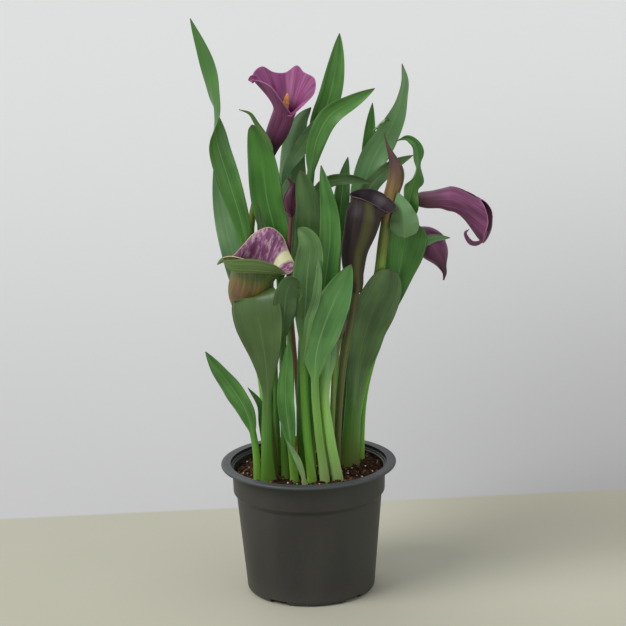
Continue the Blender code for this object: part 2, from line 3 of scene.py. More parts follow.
import bpy
import numpy as np
from mathutils import Matrix, Vector


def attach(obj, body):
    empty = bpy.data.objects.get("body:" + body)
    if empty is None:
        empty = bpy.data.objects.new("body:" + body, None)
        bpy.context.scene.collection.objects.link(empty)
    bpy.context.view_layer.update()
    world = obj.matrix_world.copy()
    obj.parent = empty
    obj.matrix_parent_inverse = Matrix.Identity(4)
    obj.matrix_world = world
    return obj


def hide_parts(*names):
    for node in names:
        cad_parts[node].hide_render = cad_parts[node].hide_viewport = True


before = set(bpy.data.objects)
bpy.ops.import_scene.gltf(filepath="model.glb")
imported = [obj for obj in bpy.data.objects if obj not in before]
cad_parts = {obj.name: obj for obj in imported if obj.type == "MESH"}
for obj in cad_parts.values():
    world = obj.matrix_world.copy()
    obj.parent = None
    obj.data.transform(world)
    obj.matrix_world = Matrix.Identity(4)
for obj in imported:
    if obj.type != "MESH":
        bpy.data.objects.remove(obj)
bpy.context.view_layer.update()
print("frame loaded")

mm = 0.001
soilTop = 0.104     # the soil's edge; every route below gives heights above it, in millimetres
tuberTop = 0.0703


# Each row divided by its own length.
def unit(rows):
    return rows / np.maximum(np.linalg.norm(rows, axis=-1, keepdims=True), 1e-12)


# A smooth curve through the points: cubic spans whose knots are the running sums of the square roots
# of the chords, and whose slopes are the knots' second-order differences. It is read at the given
# shares of its length.
def smoothPath(points, shares):
    points = np.asarray(points, float)
    knots = np.concatenate([[0.0], np.cumsum(np.linalg.norm(np.diff(points, axis=0), axis=1) ** 0.5)])
    slopes = np.gradient(points, knots, axis=0)
    fine = np.linspace(0.0, knots[-1], 60 * len(points))
    span = np.clip(np.searchsorted(knots, fine, side="right") - 1, 0, len(points) - 2)
    width = (knots[span + 1] - knots[span])[:, None]
    q = (fine - knots[span])[:, None] / width
    curve = ((2 * q**3 - 3 * q**2 + 1) * points[span] + (q**3 - 2 * q**2 + q) * width * slopes[span]
             + (3 * q**2 - 2 * q**3) * points[span + 1] + (q**3 - q**2) * width * slopes[span + 1])
    run = np.concatenate([[0.0], np.cumsum(np.linalg.norm(np.diff(curve, axis=0), axis=1))])
    wanted = np.asarray(shares) * run[-1]
    return np.stack([np.interp(wanted, run, curve[:, axis]) for axis in range(3)], axis=1)


# Directions along a path: the tangent, a side carried from station to station without spin and then
# turned about the tangent by the given degrees, and the face, which is side x tangent.
def carriedFrames(path, firstSide, turn=0.0, firstTangent=None):
    run = np.concatenate([[0.0], np.cumsum(np.linalg.norm(np.diff(path, axis=0), axis=1))])
    tangents = unit(np.gradient(path, run, axis=0))
    if firstTangent is not None:
        tangents[0] = firstTangent
    side = np.asarray(firstSide, float)
    sides = np.empty_like(path)
    for station, tangent in enumerate(tangents):
        side = unit(side - tangent * side.dot(tangent))
        sides[station] = side
    faces = np.cross(sides, tangents)
    turn = np.broadcast_to(np.radians(turn), len(path))[:, None]
    turned = sides * np.cos(turn) + faces * np.sin(turn)
    return tangents, turned, np.cross(turned, tangents)


# Points round a path: path + side * width * cos(around) + face * width * sin(around).
def roundPath(path, sides, faces, width, around):
    aside = sides[:, None] * (width * np.cos(around))[..., None]
    return path[:, None] + aside + faces[:, None] * (width * np.sin(around))[..., None]


# Values softened along a row by a running mean of the given width, done twice.
def softened(values, width):
    for _ in range(2):
        values = np.convolve(np.pad(values, width // 2, mode="edge"), np.ones(width) / width, mode="valid")
    return values


# A route given in millimetres above the soil's edge, in metres.
def raised(route):
    return np.asarray(route, float) * mm + [0.0, 0.0, soilTop]


# A raised route with a straight foot down to a tuber's top.
def planted(route):
    points = raised(route)
    foot = [points[0, 0], points[0, 1], tuberTop]
    knee = [points[0, 0], points[0, 1], soilTop - 0.004]
    return np.vstack([foot, knee, points[points[:, 2] > soilTop + 0.012]])


# A mesh from points, faces given as index arrays of 3 or 4 columns, and a UV for each face corner.
# "front" is a value from 0 to 1 on each point that tells a sheet's front from its back.
def buildMesh(name, points, faces, uvs, front):
    mesh = bpy.data.meshes.new(name)
    corners = np.concatenate([part.ravel() for part in faces])
    sizes = np.concatenate([np.full(len(part), part.shape[1]) for part in faces])
    mesh.vertices.add(len(points))
    mesh.loops.add(len(corners))
    mesh.polygons.add(len(sizes))
    mesh.vertices.foreach_set("co", np.ascontiguousarray(points, np.float32).ravel())
    mesh.loops.foreach_set("vertex_index", corners.astype(np.int32))
    starts = np.concatenate([[0], np.cumsum(sizes)[:-1]])
    mesh.polygons.foreach_set("loop_start", starts.astype(np.int32))
    mesh.update(calc_edges=True)
    layer = mesh.uv_layers.new(name="UVMap")
    flat = np.concatenate([part.reshape(-1, 2) for part in uvs]).astype(np.float32)
    layer.uv.foreach_set("vector", flat.ravel())
    mark = mesh.attributes.new("front", "FLOAT", "POINT")
    mark.data.foreach_set("value", np.ascontiguousarray(front, np.float32))
    mesh.validate()
    mesh.shade_smooth()
    mesh.set_sharp_from_angle(angle=math.radians(52))
    return mesh


# The parts of a closed skin over a grid of points: the front is the grid moved out along its normals
# by half the thickness, the back is moved in by as much, and strips close the border. The UV is
# (across, along).
def skinOver(grid, thick, across, along):
    rows, columns = grid.shape[:2]
    normals = unit(np.cross(np.gradient(grid, axis=1), np.gradient(grid, axis=0)))
    half = np.broadcast_to(np.asarray(thick) / 2.0, (rows, columns))[..., None]
    points = np.concatenate([grid + normals * half, grid - normals * half]).reshape(-1, 3)
    index = np.arange(rows * columns).reshape(rows, columns)
    front = np.stack([index[:-1, :-1], index[:-1, 1:], index[1:, 1:], index[1:, :-1]], -1).reshape(-1, 4)
    loop = np.concatenate([index[0, :-1], index[:-1, -1], index[-1, :0:-1], index[:0:-1, 0]])
    after = np.roll(loop, -1)
    count = rows * columns
    border = np.stack([after, loop, loop + count, after + count], -1)
    faces = np.concatenate([front, front[:, ::-1] + count, border])
    flat = np.stack([np.broadcast_to(across, (rows, columns)),
                     np.broadcast_to(np.asarray(along)[:, None], (rows, columns))], -1).reshape(-1, 2)
    flat = np.concatenate([flat, flat])
    return points, faces, flat[faces], np.repeat([1.0, 0.0], count)


# The parts of a closed tube: rings of points joined round and round, with a pole at each end.
def skinRound(rings, firstPole, lastPole, along):
    count, sides = rings.shape[:2]
    points = np.concatenate([rings.reshape(-1, 3), [firstPole, lastPole]])
    low, spoke = np.meshgrid(np.arange(count - 1), np.arange(sides), indexing="ij")
    low, spoke = low.ravel(), spoke.ravel()
    after = (spoke + 1) % sides
    faces = np.stack([low * sides + spoke, low * sides + after, (low + 1) * sides + after,
                      (low + 1) * sides + spoke], -1)
    u = np.stack([spoke, spoke + 1, spoke + 1, spoke], -1) / sides
    v = np.asarray(along)[np.stack([low, low, low + 1, low + 1], -1)]
    k = np.arange(sides)
    bottom = np.stack([(k + 1) % sides, k, np.full(sides, count * sides)], -1)
    top = np.stack([k, (k + 1) % sides, np.full(sides, count * sides + 1)], -1) + [
        (count - 1) * sides, (count - 1) * sides, 0]
    ends = np.concatenate([bottom, top])
    endU = np.concatenate([np.stack([k + 1, k, k + 0.5], -1), np.stack([k, k + 1, k + 0.5], -1)]) / sides
    endV = np.repeat([along[0], along[-1]], sides)[:, None] * np.ones((1, 3))
    return points, faces, np.stack([u, v], -1), ends, np.stack([endU, endV], -1)


# Puts a finished mesh in the scene with its look, as a piece that stands for CAD nodes, and hides those
# nodes; the slot's name is not used.
def place(mesh, look, slotName, *nodes):
    piece = bpy.data.objects.new(mesh.name, mesh)
    bpy.context.scene.collection.objects.link(piece)
    mesh.materials.append(look)
    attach(piece, "root")
    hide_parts(*nodes)
    return piece


# Several skins as one mesh.
def joined(name, skins):
    offset, points, faces, uvs, front = 0, [], [], [], []
    for skin in skins:
        points.append(skin[0])
        faces.append(skin[1] + offset)
        uvs.append(skin[2])
        front.append(skin[3])
        offset += len(skin[0])
    return buildMesh(name, np.concatenate(points), faces, uvs, np.concatenate(front))


# A display colour from 0 to 255 as linear light.
def tint(red, green, blue):
    share = np.array([red, green, blue]) / 255.0
    return (*np.where(share <= 0.04045, share / 12.92, ((share + 0.055) / 1.055) ** 2.4), 1.0)


# A node with settings, whose inputs take values or other nodes' outputs.
def put(tree, kind, inputs=None, **settings):
    made = tree.nodes.new("ShaderNode" + kind)
    for key, value in settings.items():
        setattr(made, key, value)
    for key, value in (inputs or {}).items():
        if isinstance(value, bpy.types.NodeSocket):
            tree.links.new(value, made.inputs[key])
        else:
            made.inputs[key].default_value = value
    return made


# One step of arithmetic on values or outputs, and the three that most looks use.
def maths(tree, operation, *values):
    return put(tree, "Math", dict(enumerate(values)), operation=operation).outputs[0]


def times(tree, first, second):
    return maths(tree, "MULTIPLY", first, second)


def plus(tree, first, second):
    return maths(tree, "ADD", first, second)


def minus(tree, first, second):
    return maths(tree, "SUBTRACT", first, second)


# 0 below low, 1 above high and smooth between them; high below low turns it round.
def ramp(tree, value, low, high):
    return put(tree, "MapRange", {0: value, 1: low, 2: high}, interpolation_type="SMOOTHSTEP").outputs[0]


# The first colour plus share * (second - first).
def blend(tree, share, first, second):
    return put(tree, "Mix", {0: share, 6: first, 7: second}, data_type="RGBA").outputs[2]


# A vector with each part multiplied by its own scale.
def stretched(tree, vector, *scale):
    return put(tree, "VectorMath", {0: vector, 1: scale}, operation="MULTIPLY").outputs[0]


# Soft noise from 0 to 1, with "scale" lumps to a unit of the vector.
def cloud(tree, vector, scale, detail=3.0, roughness=0.5):
    return put(tree, "TexNoise", {"Vector": vector, "Scale": scale, "Detail": detail,
                                  "Roughness": roughness}).outputs[0]


# A new material with its shader, and the tree, the UV's two parts and the object's own coordinates.
def startLook(name, roughness, specular=0.5):
    look = bpy.data.materials.new(name)
    look.use_nodes = True
    tree = look.node_tree
    shader = tree.nodes["Principled BSDF"]
    shader.inputs["Roughness"].default_value = roughness
    shader.inputs["Specular IOR Level"].default_value = specular
    split = put(tree, "SeparateXYZ", {0: put(tree, "UVMap", uv_map="UVMap").outputs[0]})
    own = put(tree, "TexCoord").outputs["Object"]
    return look, tree, shader, split.outputs[0], split.outputs[1], own


# Tilts the shader's normal by the slope of a height, which is "distance" metres where it is 1.
def bumped(tree, shader, height, strength, distance):
    made = put(tree, "Bump", {"Height": height, "Strength": strength, "Distance": distance})
    tree.links.new(made.outputs[0], shader.inputs["Normal"])


greens = {
    "green": {"deep": (44, 96, 32), "light": (92, 148, 66), "back": (98, 140, 86), "rib": (138, 182, 104),
              "edge": (58, 84, 40), "stalk": (108, 172, 54), "foot": (142, 190, 78)},
    "dark": {"deep": (40, 72, 32), "light": (80, 114, 58), "back": (82, 108, 60), "rib": (104, 140, 76),
             "edge": (54, 64, 38), "stalk": (86, 144, 46), "foot": (112, 156, 60)},
    "pale": {"deep": (84, 130, 80), "light": (124, 164, 116), "back": (112, 152, 108),
             "rib": (158, 194, 140), "edge": (76, 104, 62), "stalk": (134, 184, 84), "foot": (176, 200, 130)}}


# A leaf: soft veins run along it between two greens, over larger clouds of both; the back is paler, a
# pale rib runs up the middle of the blade and fades towards the tip, and the margin is a thin dark
# line with a light one inside. Below the blade the stalk turns to its own colour with brown streaks,
# and to a paler one at the soil. The u of the UV goes across, with 0.5 on the rib, and v along.
def leafLook(name, colours, bladeFrom):
    look, tree, shader, u, v, own = startLook(name, 0.40)
    away = maths(tree, "ABSOLUTE", minus(tree, u, 0.5))
    spread = times(tree, minus(tree, v, bladeFrom), 0.7)
    fan = minus(tree, u, times(tree, minus(tree, u, 0.5), spread))
    lines = put(tree, "CombineXYZ", {0: fan, 1: v}).outputs[0]
    streak = cloud(tree, stretched(tree, lines, 38.0, 1.2, 1.0), 1.0, 4.0, 0.62)
    broad = cloud(tree, stretched(tree, lines, 4.0, 3.2, 1.0), 1.0, 3.0)
    patch = cloud(tree, own, 30.0, 3.0)
    share = plus(tree, times(tree, broad, 0.50), times(tree, patch, 0.36))
    share = plus(tree, times(tree, streak, 0.34), share)
    blade = blend(tree, ramp(tree, share, 0.42, 0.80), tint(*colours["deep"]), tint(*colours["light"]))
    front = put(tree, "Attribute", attribute_name="front").outputs["Fac"]
    paler = blend(tree, 0.5, tint(*colours["back"]), tint(*colours["light"]))
    back = blend(tree, ramp(tree, share, 0.40, 0.90), tint(*colours["back"]), paler)
    blade = blend(tree, ramp(tree, front, 0.4, 0.6), back, blade)
    rib = times(tree, ramp(tree, away, 0.030, 0.006), ramp(tree, v, 1.0, bladeFrom + 0.1))
    blade = blend(tree, times(tree, rib, 0.55), blade, tint(*colours["rib"]))
    pale = times(tree, ramp(tree, away, 0.455, 0.470), ramp(tree, away, 0.484, 0.474))
    blade = blend(tree, times(tree, pale, 0.30), blade, tint(*colours["rib"]))
    blade = blend(tree, times(tree, ramp(tree, away, 0.480, 0.492), 0.8), blade, tint(*colours["edge"]))
    blade = blend(tree, times(tree, ramp(tree, v, 0.985, 0.999), 0.6), blade, tint(92, 74, 44))
    darker = blend(tree, 0.5, tint(*colours["stalk"]), tint(*colours["deep"]))
    stalk = blend(tree, ramp(tree, streak, 0.35, 0.65), darker, tint(*colours["stalk"]))
    brown = times(tree, ramp(tree, streak, 0.42, 0.32), ramp(tree, patch, 0.45, 0.65))
    stalk = blend(tree, times(tree, brown, 0.6), stalk, tint(94, 70, 44))
    body = blend(tree, ramp(tree, v, bladeFrom - 0.16, bladeFrom + 0.14), stalk, blade)
    height = put(tree, "SeparateXYZ", {0: own}).outputs[2]
    foot = times(tree, ramp(tree, height, soilTop + 0.045, soilTop), 0.75)
    body = blend(tree, foot, body, tint(*colours["foot"]))
    tree.links.new(body, shader.inputs["Base Color"])
    rough = plus(tree, 0.34, times(tree, patch, 0.16))
    tree.links.new(rough, shader.inputs["Roughness"])
    bumped(tree, shader, streak, 0.35, 0.0005)
    return look


# A petal sheet: two tones outside and two inside, mixed by streaks that run from throat to rim. The
# outside goes over to the base colour below, and the inside to near black down the throat as painted
# shade in the funnel; the rim is a paler line. Where asked, there is a rib outside, a green back, or
# cream veins inside with one leaning cream patch.
def spatheLook(name, outside, inside, rimLine, base, cream=0.0, green=0.0, rib=None):
    look, tree, shader, u, v, own = startLook(name, 0.5, 0.35)
    lines = put(tree, "CombineXYZ", {0: u, 1: v}).outputs[0]
    streak = cloud(tree, stretched(tree, lines, 60.0, 1.4, 1.0), 1.0, 3.0, 0.6)
    broad = cloud(tree, stretched(tree, lines, 9.0, 1.8, 1.0), 1.0, 2.0)
    share = plus(tree, times(tree, streak, 0.6), times(tree, broad, 0.4))
    tone = ramp(tree, share, 0.38, 0.66)
    outer = blend(tree, tone, tint(*outside[0]), tint(*outside[1]))
    outer = blend(tree, ramp(tree, v, 0.5, 0.05), outer, tint(*base))
    if rib:
        line = maths(tree, "ABSOLUTE", minus(tree, u, rib[3]))
        outer = blend(tree, times(tree, ramp(tree, line, 0.06, 0.01), 0.8), outer, tint(*rib[:3]))
    if green:
        mossy = blend(tree, tone, tint(52, 98, 52), tint(100, 134, 66))
        outer = blend(tree, times(tree, ramp(tree, v, 0.35, 0.75), green), outer, mossy)
    inner = blend(tree, tone, tint(*inside[0]), tint(*inside[1]))
    if cream:
        veins = cloud(tree, stretched(tree, lines, 40.0, 6.0, 1.0), 1.0, 5.0, 0.7)
        inner = blend(tree, times(tree, ramp(tree, veins, 0.47, 0.62), cream), inner, tint(206, 170, 184))
        lean = minus(tree, u, plus(tree, 0.66, times(tree, v, 0.12)))
        ragged = plus(tree, maths(tree, "ABSOLUTE", lean), times(tree, veins, 0.04))
        spot = times(tree, ramp(tree, ragged, 0.062, 0.040), ramp(tree, v, 0.50, 0.62))
        inner = blend(tree, spot, inner, tint(216, 216, 170))
    # Painted shade: the inside darkens to near black down the throat.
    throat = blend(tree, 0.5, tint(*inside[0]), (0.004, 0.002, 0.003, 1))
    inner = blend(tree, ramp(tree, v, 0.72, 0.4), inner, throat)
    front = put(tree, "Attribute", attribute_name="front").outputs["Fac"]
    whole = blend(tree, ramp(tree, front, 0.4, 0.6), outer, inner)
    whole = blend(tree, times(tree, ramp(tree, v, 0.975, 0.995), 0.8), whole, tint(*rimLine))
    mottle = cloud(tree, own, 60.0, 2.0)
    whole = blend(tree, times(tree, ramp(tree, mottle, 0.45, 0.75), 0.18), whole, tint(*inside[1]))
    tree.links.new(whole, shader.inputs["Base Color"])
    bumped(tree, shader, streak, 0.3, 0.0004)
    return look


# A stem or bud: two colours mixed by streaks along it, going over to a third towards its top.
def stemLook(name, low, high, top, change=(0.75, 0.97)):
    look, tree, shader, u, v, own = startLook(name, 0.4)
    lines = put(tree, "CombineXYZ", {0: u, 1: v}).outputs[0]
    streak = cloud(tree, stretched(tree, lines, 14.0, 1.5, 1.0), 1.0, 3.0, 0.6)
    spots = cloud(tree, own, 260.0, 2.0)
    body = blend(tree, ramp(tree, streak, 0.35, 0.65), tint(*low), tint(*high))
    above = blend(tree, 0.3, tint(*top), tint(*high))
    above = blend(tree, ramp(tree, streak, 0.4, 0.6), tint(*top), above)
    body = blend(tree, ramp(tree, v, *change), body, above)
    body = blend(tree, times(tree, ramp(tree, spots, 0.6, 0.75), 0.25), body, tint(*low))
    tree.links.new(body, shader.inputs["Base Color"])
    bumped(tree, shader, streak, 0.25, 0.0004)
    return look


# The grid of a leaf. The path is cut into stations, closer in the blade. Across, points go from -1 to
# 1 as the sine of equal angles. The half width is the rounded sum of the stalk, which widens at the
# soil and fades out along the blade, and of the outline
# (q / bulge)^climb * ((1 - q) / (1 - bulge))^point, with q from 0 to 1 along the blade. The fold lifts
# the sides by fold * half width * |across|, rounded at the rib, and the ripple lifts the margins by a
# sine of q. The thickness goes from a nearly round stalk to half a millimetre in the blade.
def leafGrid(leaf, path, bladeFrom, firstTangent=(0.0, 0.0, 1.0)):
    stations, columns = 84, 23
    cut = 24 if bladeFrom > 0.1 else 2     # stations in the stalk; a strip has next to none
    along = np.concatenate([np.linspace(0.0, bladeFrom, cut)[:-1],
                            np.linspace(bladeFrom, 1.0, stations - cut)])
    path = smoothPath(path, along)
    q = np.clip((along - bladeFrom) / (1.0 - bladeFrom), 0.0, 1.0)
    twists = leaf.get("twists", (0, 0))
    turn = softened(np.interp(q, np.linspace(0.0, 1.0, len(twists)), twists), 5)
    heading = math.radians(leaf.get("facing", 0.0))
    firstSide = leaf.get("side", (math.cos(heading), math.sin(heading), 0.0))
    tangents, sides, faces = carriedFrames(path, firstSide, turn, np.asarray(firstTangent))
    bulge = leaf.get("bulge", 0.45)
    climb = 0.8 * bulge / (1.0 - bulge)
    outline = (q / bulge) ** climb * ((1.0 - q) / (1.0 - bulge)) ** leaf.get("point", 0.8)
    stalk = leaf["stalk"]
    rise = np.clip(path[:, 2] - soilTop, 0.0, None)
    sheath = 1.0 + leaf.get("sheath", 0.3) * np.exp(-rise / 0.02) * (along < 0.5)
    half = np.hypot(stalk * (1.0 - q) * sheath, 0.5 * leaf["width"] * outline)
    half = np.maximum(half, 0.0003)[:, None]
    across = np.sin(np.linspace(-math.pi / 2, math.pi / 2, columns))[None, :]
    fade = ((1.0 - q) ** 4)[:, None]
    thick = 0.0005 + (2.0 * stalk * 0.9 - 0.0005) * fade * np.sqrt(np.clip(1.0 - across**2, 0.0, 1.0))
    fold = (leaf.get("fold", 0.3) * np.clip(q * 3.0, 0.0, 1.0))[:, None]
    lift = fold * half * (np.sqrt(across**2 + 0.02) - 0.14)
    waves, ripple = leaf.get("waves", 3.0), leaf.get("ripple", 0.11)
    phase = waves * 2.0 * math.pi * q[:, None] + leaf.get("phase", 0.0) + np.sign(across) * 0.9
    lift = lift + (ripple * half * np.sin(phase) * np.abs(across) ** 2.5
                   * np.sqrt(np.sin(math.pi * q))[:, None])
    grid = path[:, None] + sides[:, None] * (half * across)[..., None] + faces[:, None] * lift[..., None]
    return grid, thick, (across + 1.0) / 2.0, along


# A leaf with its extra strips, such as a turned-over tip or margin, as one piece.
def growLeaf(node, kind, slotName, leaf):
    grid, thick, across, along = leafGrid(leaf, planted(leaf["route"]), leaf["from"])
    skins = [skinOver(grid, thick, across, along)]
    for extra in leaf.get("extras", ()):
        points = raised(extra["route"])
        first = unit(points[1] - points[0])
        grid, thick, across, along = leafGrid(extra, points, 0.02, first)
        skins.append(skinOver(grid, thick, across, 0.75 + 0.2 * along))
    mesh = joined(node + "_fine", skins)
    colours = dict(greens[kind], **leaf.get("colours", {}))
    place(mesh, leafLook(node + "_look", colours, leaf["from"]), slotName, node)


# Each leaf has its route, the blade's full width and the stalk's radius in metres, and the share of the
# route from which the blade grows. Twists are in degrees, spaced evenly along the blade.
growLeaf("leaf_tall_left", "green", "leaf_green", {
    "route": [(-36, -7, 0), (-36, -5, 69), (-42, 0, 130), (-49, 1, 208), (-62, -2, 260),
              (-71, -4, 294), (-72, -6, 324), (-77, -6, 358), (-89, -8, 396)],
    "width": 0.020, "stalk": 0.0030, "from": 0.52, "twists": (0, 0, -10, -90, -170, -180),
    "waves": 4, "ripple": 0.16,
    "colours": {"back": (70, 118, 56)}})
growLeaf("leaf_pale_left", "pale", "leaf_pale", {
    "route": [(-38, 5, 0), (-38, 8, 64), (-48, 10, 135), (-59, 9, 186), (-66, 8, 219), (-70, 8, 249),
              (-72, 8, 283)],
    "width": 0.018, "stalk": 0.0028, "from": 0.5, "fold": 0.2, "phase": 1.2})
growLeaf("leaf_spike_left", "dark", "leaf_dark", {
    "route": [(-29, 9, 0), (-33, 9, 83), (-45, 7, 154), (-50, 5, 211), (-50, 4, 250)],
    "width": 0.005, "stalk": 0.0018, "from": 0.6})
growLeaf("leaf_centre_left", "green", "leaf_green", {
    "route": [(-19, 4, 0), (-20, 5, 65), (-20, 4, 137), (-23, 3, 206), (-30, 3, 241), (-33, 1, 271),
              (-37, -1, 293), (-41, -3, 306)],
    "width": 0.026, "stalk": 0.0032, "from": 0.6, "bulge": 0.42, "phase": 2.0, "point": 0.5,
    "extras": [{"route": [(-24, -6, 283), (-29, -7, 295), (-36, -7, 306), (-42, -9, 316),
                          (-51, -11, 320)], "width": 0.0045, "stalk": 0.0006,
                "side": (-0.8, -0.2, 0.5), "fold": 0.5, "bulge": 0.3}],
    "colours": {"deep": (48, 104, 34), "light": (80, 142, 50), "back": (72, 104, 44)}})
growLeaf("leaf_behind_hood", "dark", "leaf_dark", {
    "route": [(-28, -6, 0), (-27, -4, 112), (-31, -5, 182), (-35, -6, 219), (-38, -6, 239)],
    "width": 0.010, "stalk": 0.0022, "from": 0.7, "fold": 0.1})
growLeaf("leaf_upper_middle", "green", "leaf_green", {
    "route": [(0, 28, 0), (0, 22, 131), (4, 16, 237), (16, 14, 302), (25, 13, 327), (31, 12, 355),
              (34, 10, 379)],
    "width": 0.019, "stalk": 0.0030, "from": 0.74, "fold": 0.4, "phase": 0.6})
growLeaf("leaf_upper_right", "green", "leaf_green", {
    "route": [(3, 0, 0), (2, 0, 65), (3, -2, 189), (7, -2, 259), (13, -3, 292), (25, -4, 313),
              (43, -6, 324), (62, -10, 335)],
    "width": 0.017, "stalk": 0.0032, "from": 0.76, "fold": 0.4, "phase": 2.6,
    "colours": {"stalk": (62, 104, 44)}})
growLeaf("leaf_upper_pale", "pale", "leaf_pale", {
    "route": [(-16, 24, 0), (-13, 24, 130), (-12, 26, 201), (-10, 26, 248), (-9, 26, 270),
              (-6, 25, 289), (0, 23, 305), (9, 20, 316)],
    "width": 0.025, "stalk": 0.0032, "from": 0.58, "fold": -0.3, "bulge": 0.55, "facing": -25.0,
    "extras": [{"route": [(-18, 16, 250), (-11, 14, 267), (-1, 12, 282), (9, 10, 297), (18, 8, 310)],
                "width": 0.012, "stalk": 0.0006, "fold": 0.2, "bulge": 0.5, "point": 0.5}],
    "colours": {"deep": (88, 130, 80), "light": (118, 156, 110), "back": (92, 136, 84)}})
growLeaf("leaf_tall_right", "green", "leaf_green", {
    "route": [(32, 31, 0), (35, 30, 60), (40, 25, 114), (46, 18, 185), (51, 17, 236), (54, 17, 253),
              (61, 16, 272), (71, 14, 289), (80, 12, 308), (85, 12, 323), (88, 13, 337),
              (86, 14, 352)],
    "width": 0.023, "facing": -20.0, "stalk": 0.0034, "from": 0.62,
    "twists": (0, 0, 0, -30, -62, -50), "fold": 0.15, "bulge": 0.35,
    "extras": [{"route": [(75, 8, 305), (70, 6, 306), (65, 5, 302), (60, 5, 297)], "width": 0.008,
                "stalk": 0.0006, "fold": 0.5}],
    # Its greens are the leaf's own green made lighter: partly painted light, for the light this leaf catches.
    "colours": {"deep": (84, 130, 78), "light": (118, 162, 108)}})
growLeaf("leaf_behind_tall_right", "green", "leaf_green", {
    "route": [(22, 41, 0), (30, 39, 80), (44, 36, 145), (54, 29, 234), (57, 27, 278), (59, 27, 299),
              (61, 25, 318)],
    "width": 0.011, "stalk": 0.0024, "from": 0.78})
growLeaf("leaf_wavy_right", "green", "leaf_green", {
    "route": [(46, 26, 0), (50, 25, 60), (64, 20, 115), (80, 17, 165), (85, 12, 205), (88, 3, 226),
              (91, -6, 245), (94, -12, 259), (97, -14, 272), (95, -14, 288), (88, -15, 294),
              (79, -18, 292)],
    "width": 0.015, "stalk": 0.0026, "from": 0.62, "twists": (0, 20, -20, -60, 40), "waves": 5,
    "ripple": 0.5})
growLeaf("leaf_behind_bud", "green", "leaf_green", {
    "route": [(23, 32, 0), (27, 29, 60), (38, 14, 148), (50, 5, 220), (57, 4, 249), (68, 4, 261),
              (79, 4, 269), (94, 4, 276)],
    "width": 0.014, "stalk": 0.0024, "from": 0.74, "fold": 0.2,
    "colours": {"deep": (60, 96, 54), "light": (98, 134, 82)}})
growLeaf("leaf_dark_horizontal", "dark", "leaf_dark", {
    "route": [(13, 10, 0), (11, 2, 100), (10, -6, 180), (8, -12, 225), (12, -14, 248), (22, -14, 258),
              (40, -14, 260), (58, -14, 256)],
    "width": 0.010, "stalk": 0.0024, "from": 0.8})
growLeaf("leaf_small_pointed", "green", "leaf_green", {
    "route": [(24, 14, 0), (27, 8, 133), (30, 4, 204), (32, 2, 231), (35, 2, 256), (39, 2, 276)],
    "width": 0.014, "stalk": 0.0024, "from": 0.74,
    "colours": {"deep": (42, 84, 34), "light": (76, 122, 54)}})
growLeaf("leaf_front_centre", "green", "leaf_green", {
    "route": [(12, -17, 0), (11, -28, 73), (12, -34, 136), (18, -37, 183), (22, -38, 213),
              (22, -38, 237), (19, -37, 258), (16, -36, 276)],
    "width": 0.019, "stalk": 0.0030, "from": 0.55, "fold": 0.25, "phase": 3.0})
growLeaf("leaf_dark_centre", "dark", "leaf_dark", {
    "route": [(-6, -13, 0), (-5, -20, 72), (-1, -27, 143), (3, -30, 195), (5, -30, 225),
              (5, -30, 242), (2, -30, 257), (-1, -30, 271)],
    "width": 0.024, "stalk": 0.0040, "from": 0.55, "fold": 0.15, "bulge": 0.55, "point": 0.62,
    "phase": 1.0})
growLeaf("leaf_front_folded", "green", "leaf_green", {
    "route": [(3, -31, 0), (-1, -38, 51), (-2, -44, 104), (-1, -47, 139), (1, -47, 165),
              (3, -46, 190), (5, -45, 203), (5, -45, 212), (2, -44, 219), (-4, -42, 225)],
    "width": 0.024, "stalk": 0.0036, "from": 0.6, "fold": 0.2, "bulge": 0.55, "point": 0.6,
    "sheath": 0.2,
    "extras": [{"route": [(12, -50, 200), (12, -56, 186), (9, -61, 168), (3, -64, 150), (0, -63, 132),
                          (-3, -58, 112)], "width": 0.0075, "stalk": 0.0006, "side": (-1.0, 0.0, 0.0),
                "fold": 0.3, "bulge": 0.4}],
    "colours": {"deep": (58, 96, 48), "light": (96, 134, 72), "back": (92, 160, 58)}})
growLeaf("leaf_front_right", "pale", "leaf_green", {
    "route": [(14, -31, 0), (9, -42, 51), (7, -50, 92), (9, -54, 122), (17, -56, 148), (28, -58, 174),
              (39, -60, 197)],
    "width": 0.030, "stalk": 0.0034, "from": 0.56, "fold": 0.2, "bulge": 0.5,
    "colours": {"deep": (54, 106, 48), "light": (96, 148, 80)}})
growLeaf("leaf_front_left", "dark", "leaf_dark", {
    "route": [(-35, -25, 0), (-35, -38, 43), (-33, -47, 88), (-34, -50, 115), (-37, -53, 140),
              (-40, -54, 160), (-41, -50, 169), (-43, -45, 167)],
    "width": 0.035, "stalk": 0.0042, "from": 0.52, "fold": 0.2, "bulge": 0.62, "sheath": 0.8,
    "point": 0.28, "ripple": 0.12, "waves": 2,
    "colours": {"deep": (62, 88, 44), "light": (80, 108, 56)}})
growLeaf("leaf_arching", "dark", "leaf_green", {
    "route": [(-20, -21, 0), (-20, -28, 73), (-19, -40, 128), (-17, -52, 155), (-15, -58, 173),
               (-10, -61, 183), (-4, -64, 183), (-2, -67, 175), (-5, -68, 167)],
    "width": 0.019, "stalk": 0.0030, "from": 0.68, "fold": 0.1, "colours": {"deep": (56, 88, 50)}})
growLeaf("leaf_small_front", "green", "leaf_green", {
    "route": [(-12, -29, 0), (-15, -42, 43), (-18, -50, 80), (-17, -53, 102), (-15, -55, 118),
              (-14, -56, 133)],
    "width": 0.014, "stalk": 0.0030, "from": 0.42, "fold": 0.15})
growLeaf("leaf_far_left", "green", "leaf_green", {
    "route": [(-44, -25, 0), (-45, -34, 36), (-51, -39, 66), (-62, -42, 88), (-74, -44, 106),
              (-84, -46, 122)],
    "width": 0.016, "stalk": 0.0028, "from": 0.5})
growLeaf("leaf_stub_left", "green", "leaf_green", {
    "route": [(-36, -15, 0), (-38, -24, 51), (-40, -27, 70), (-50, -28, 85)],
    "width": 0.007, "stalk": 0.0020, "from": 0.5})
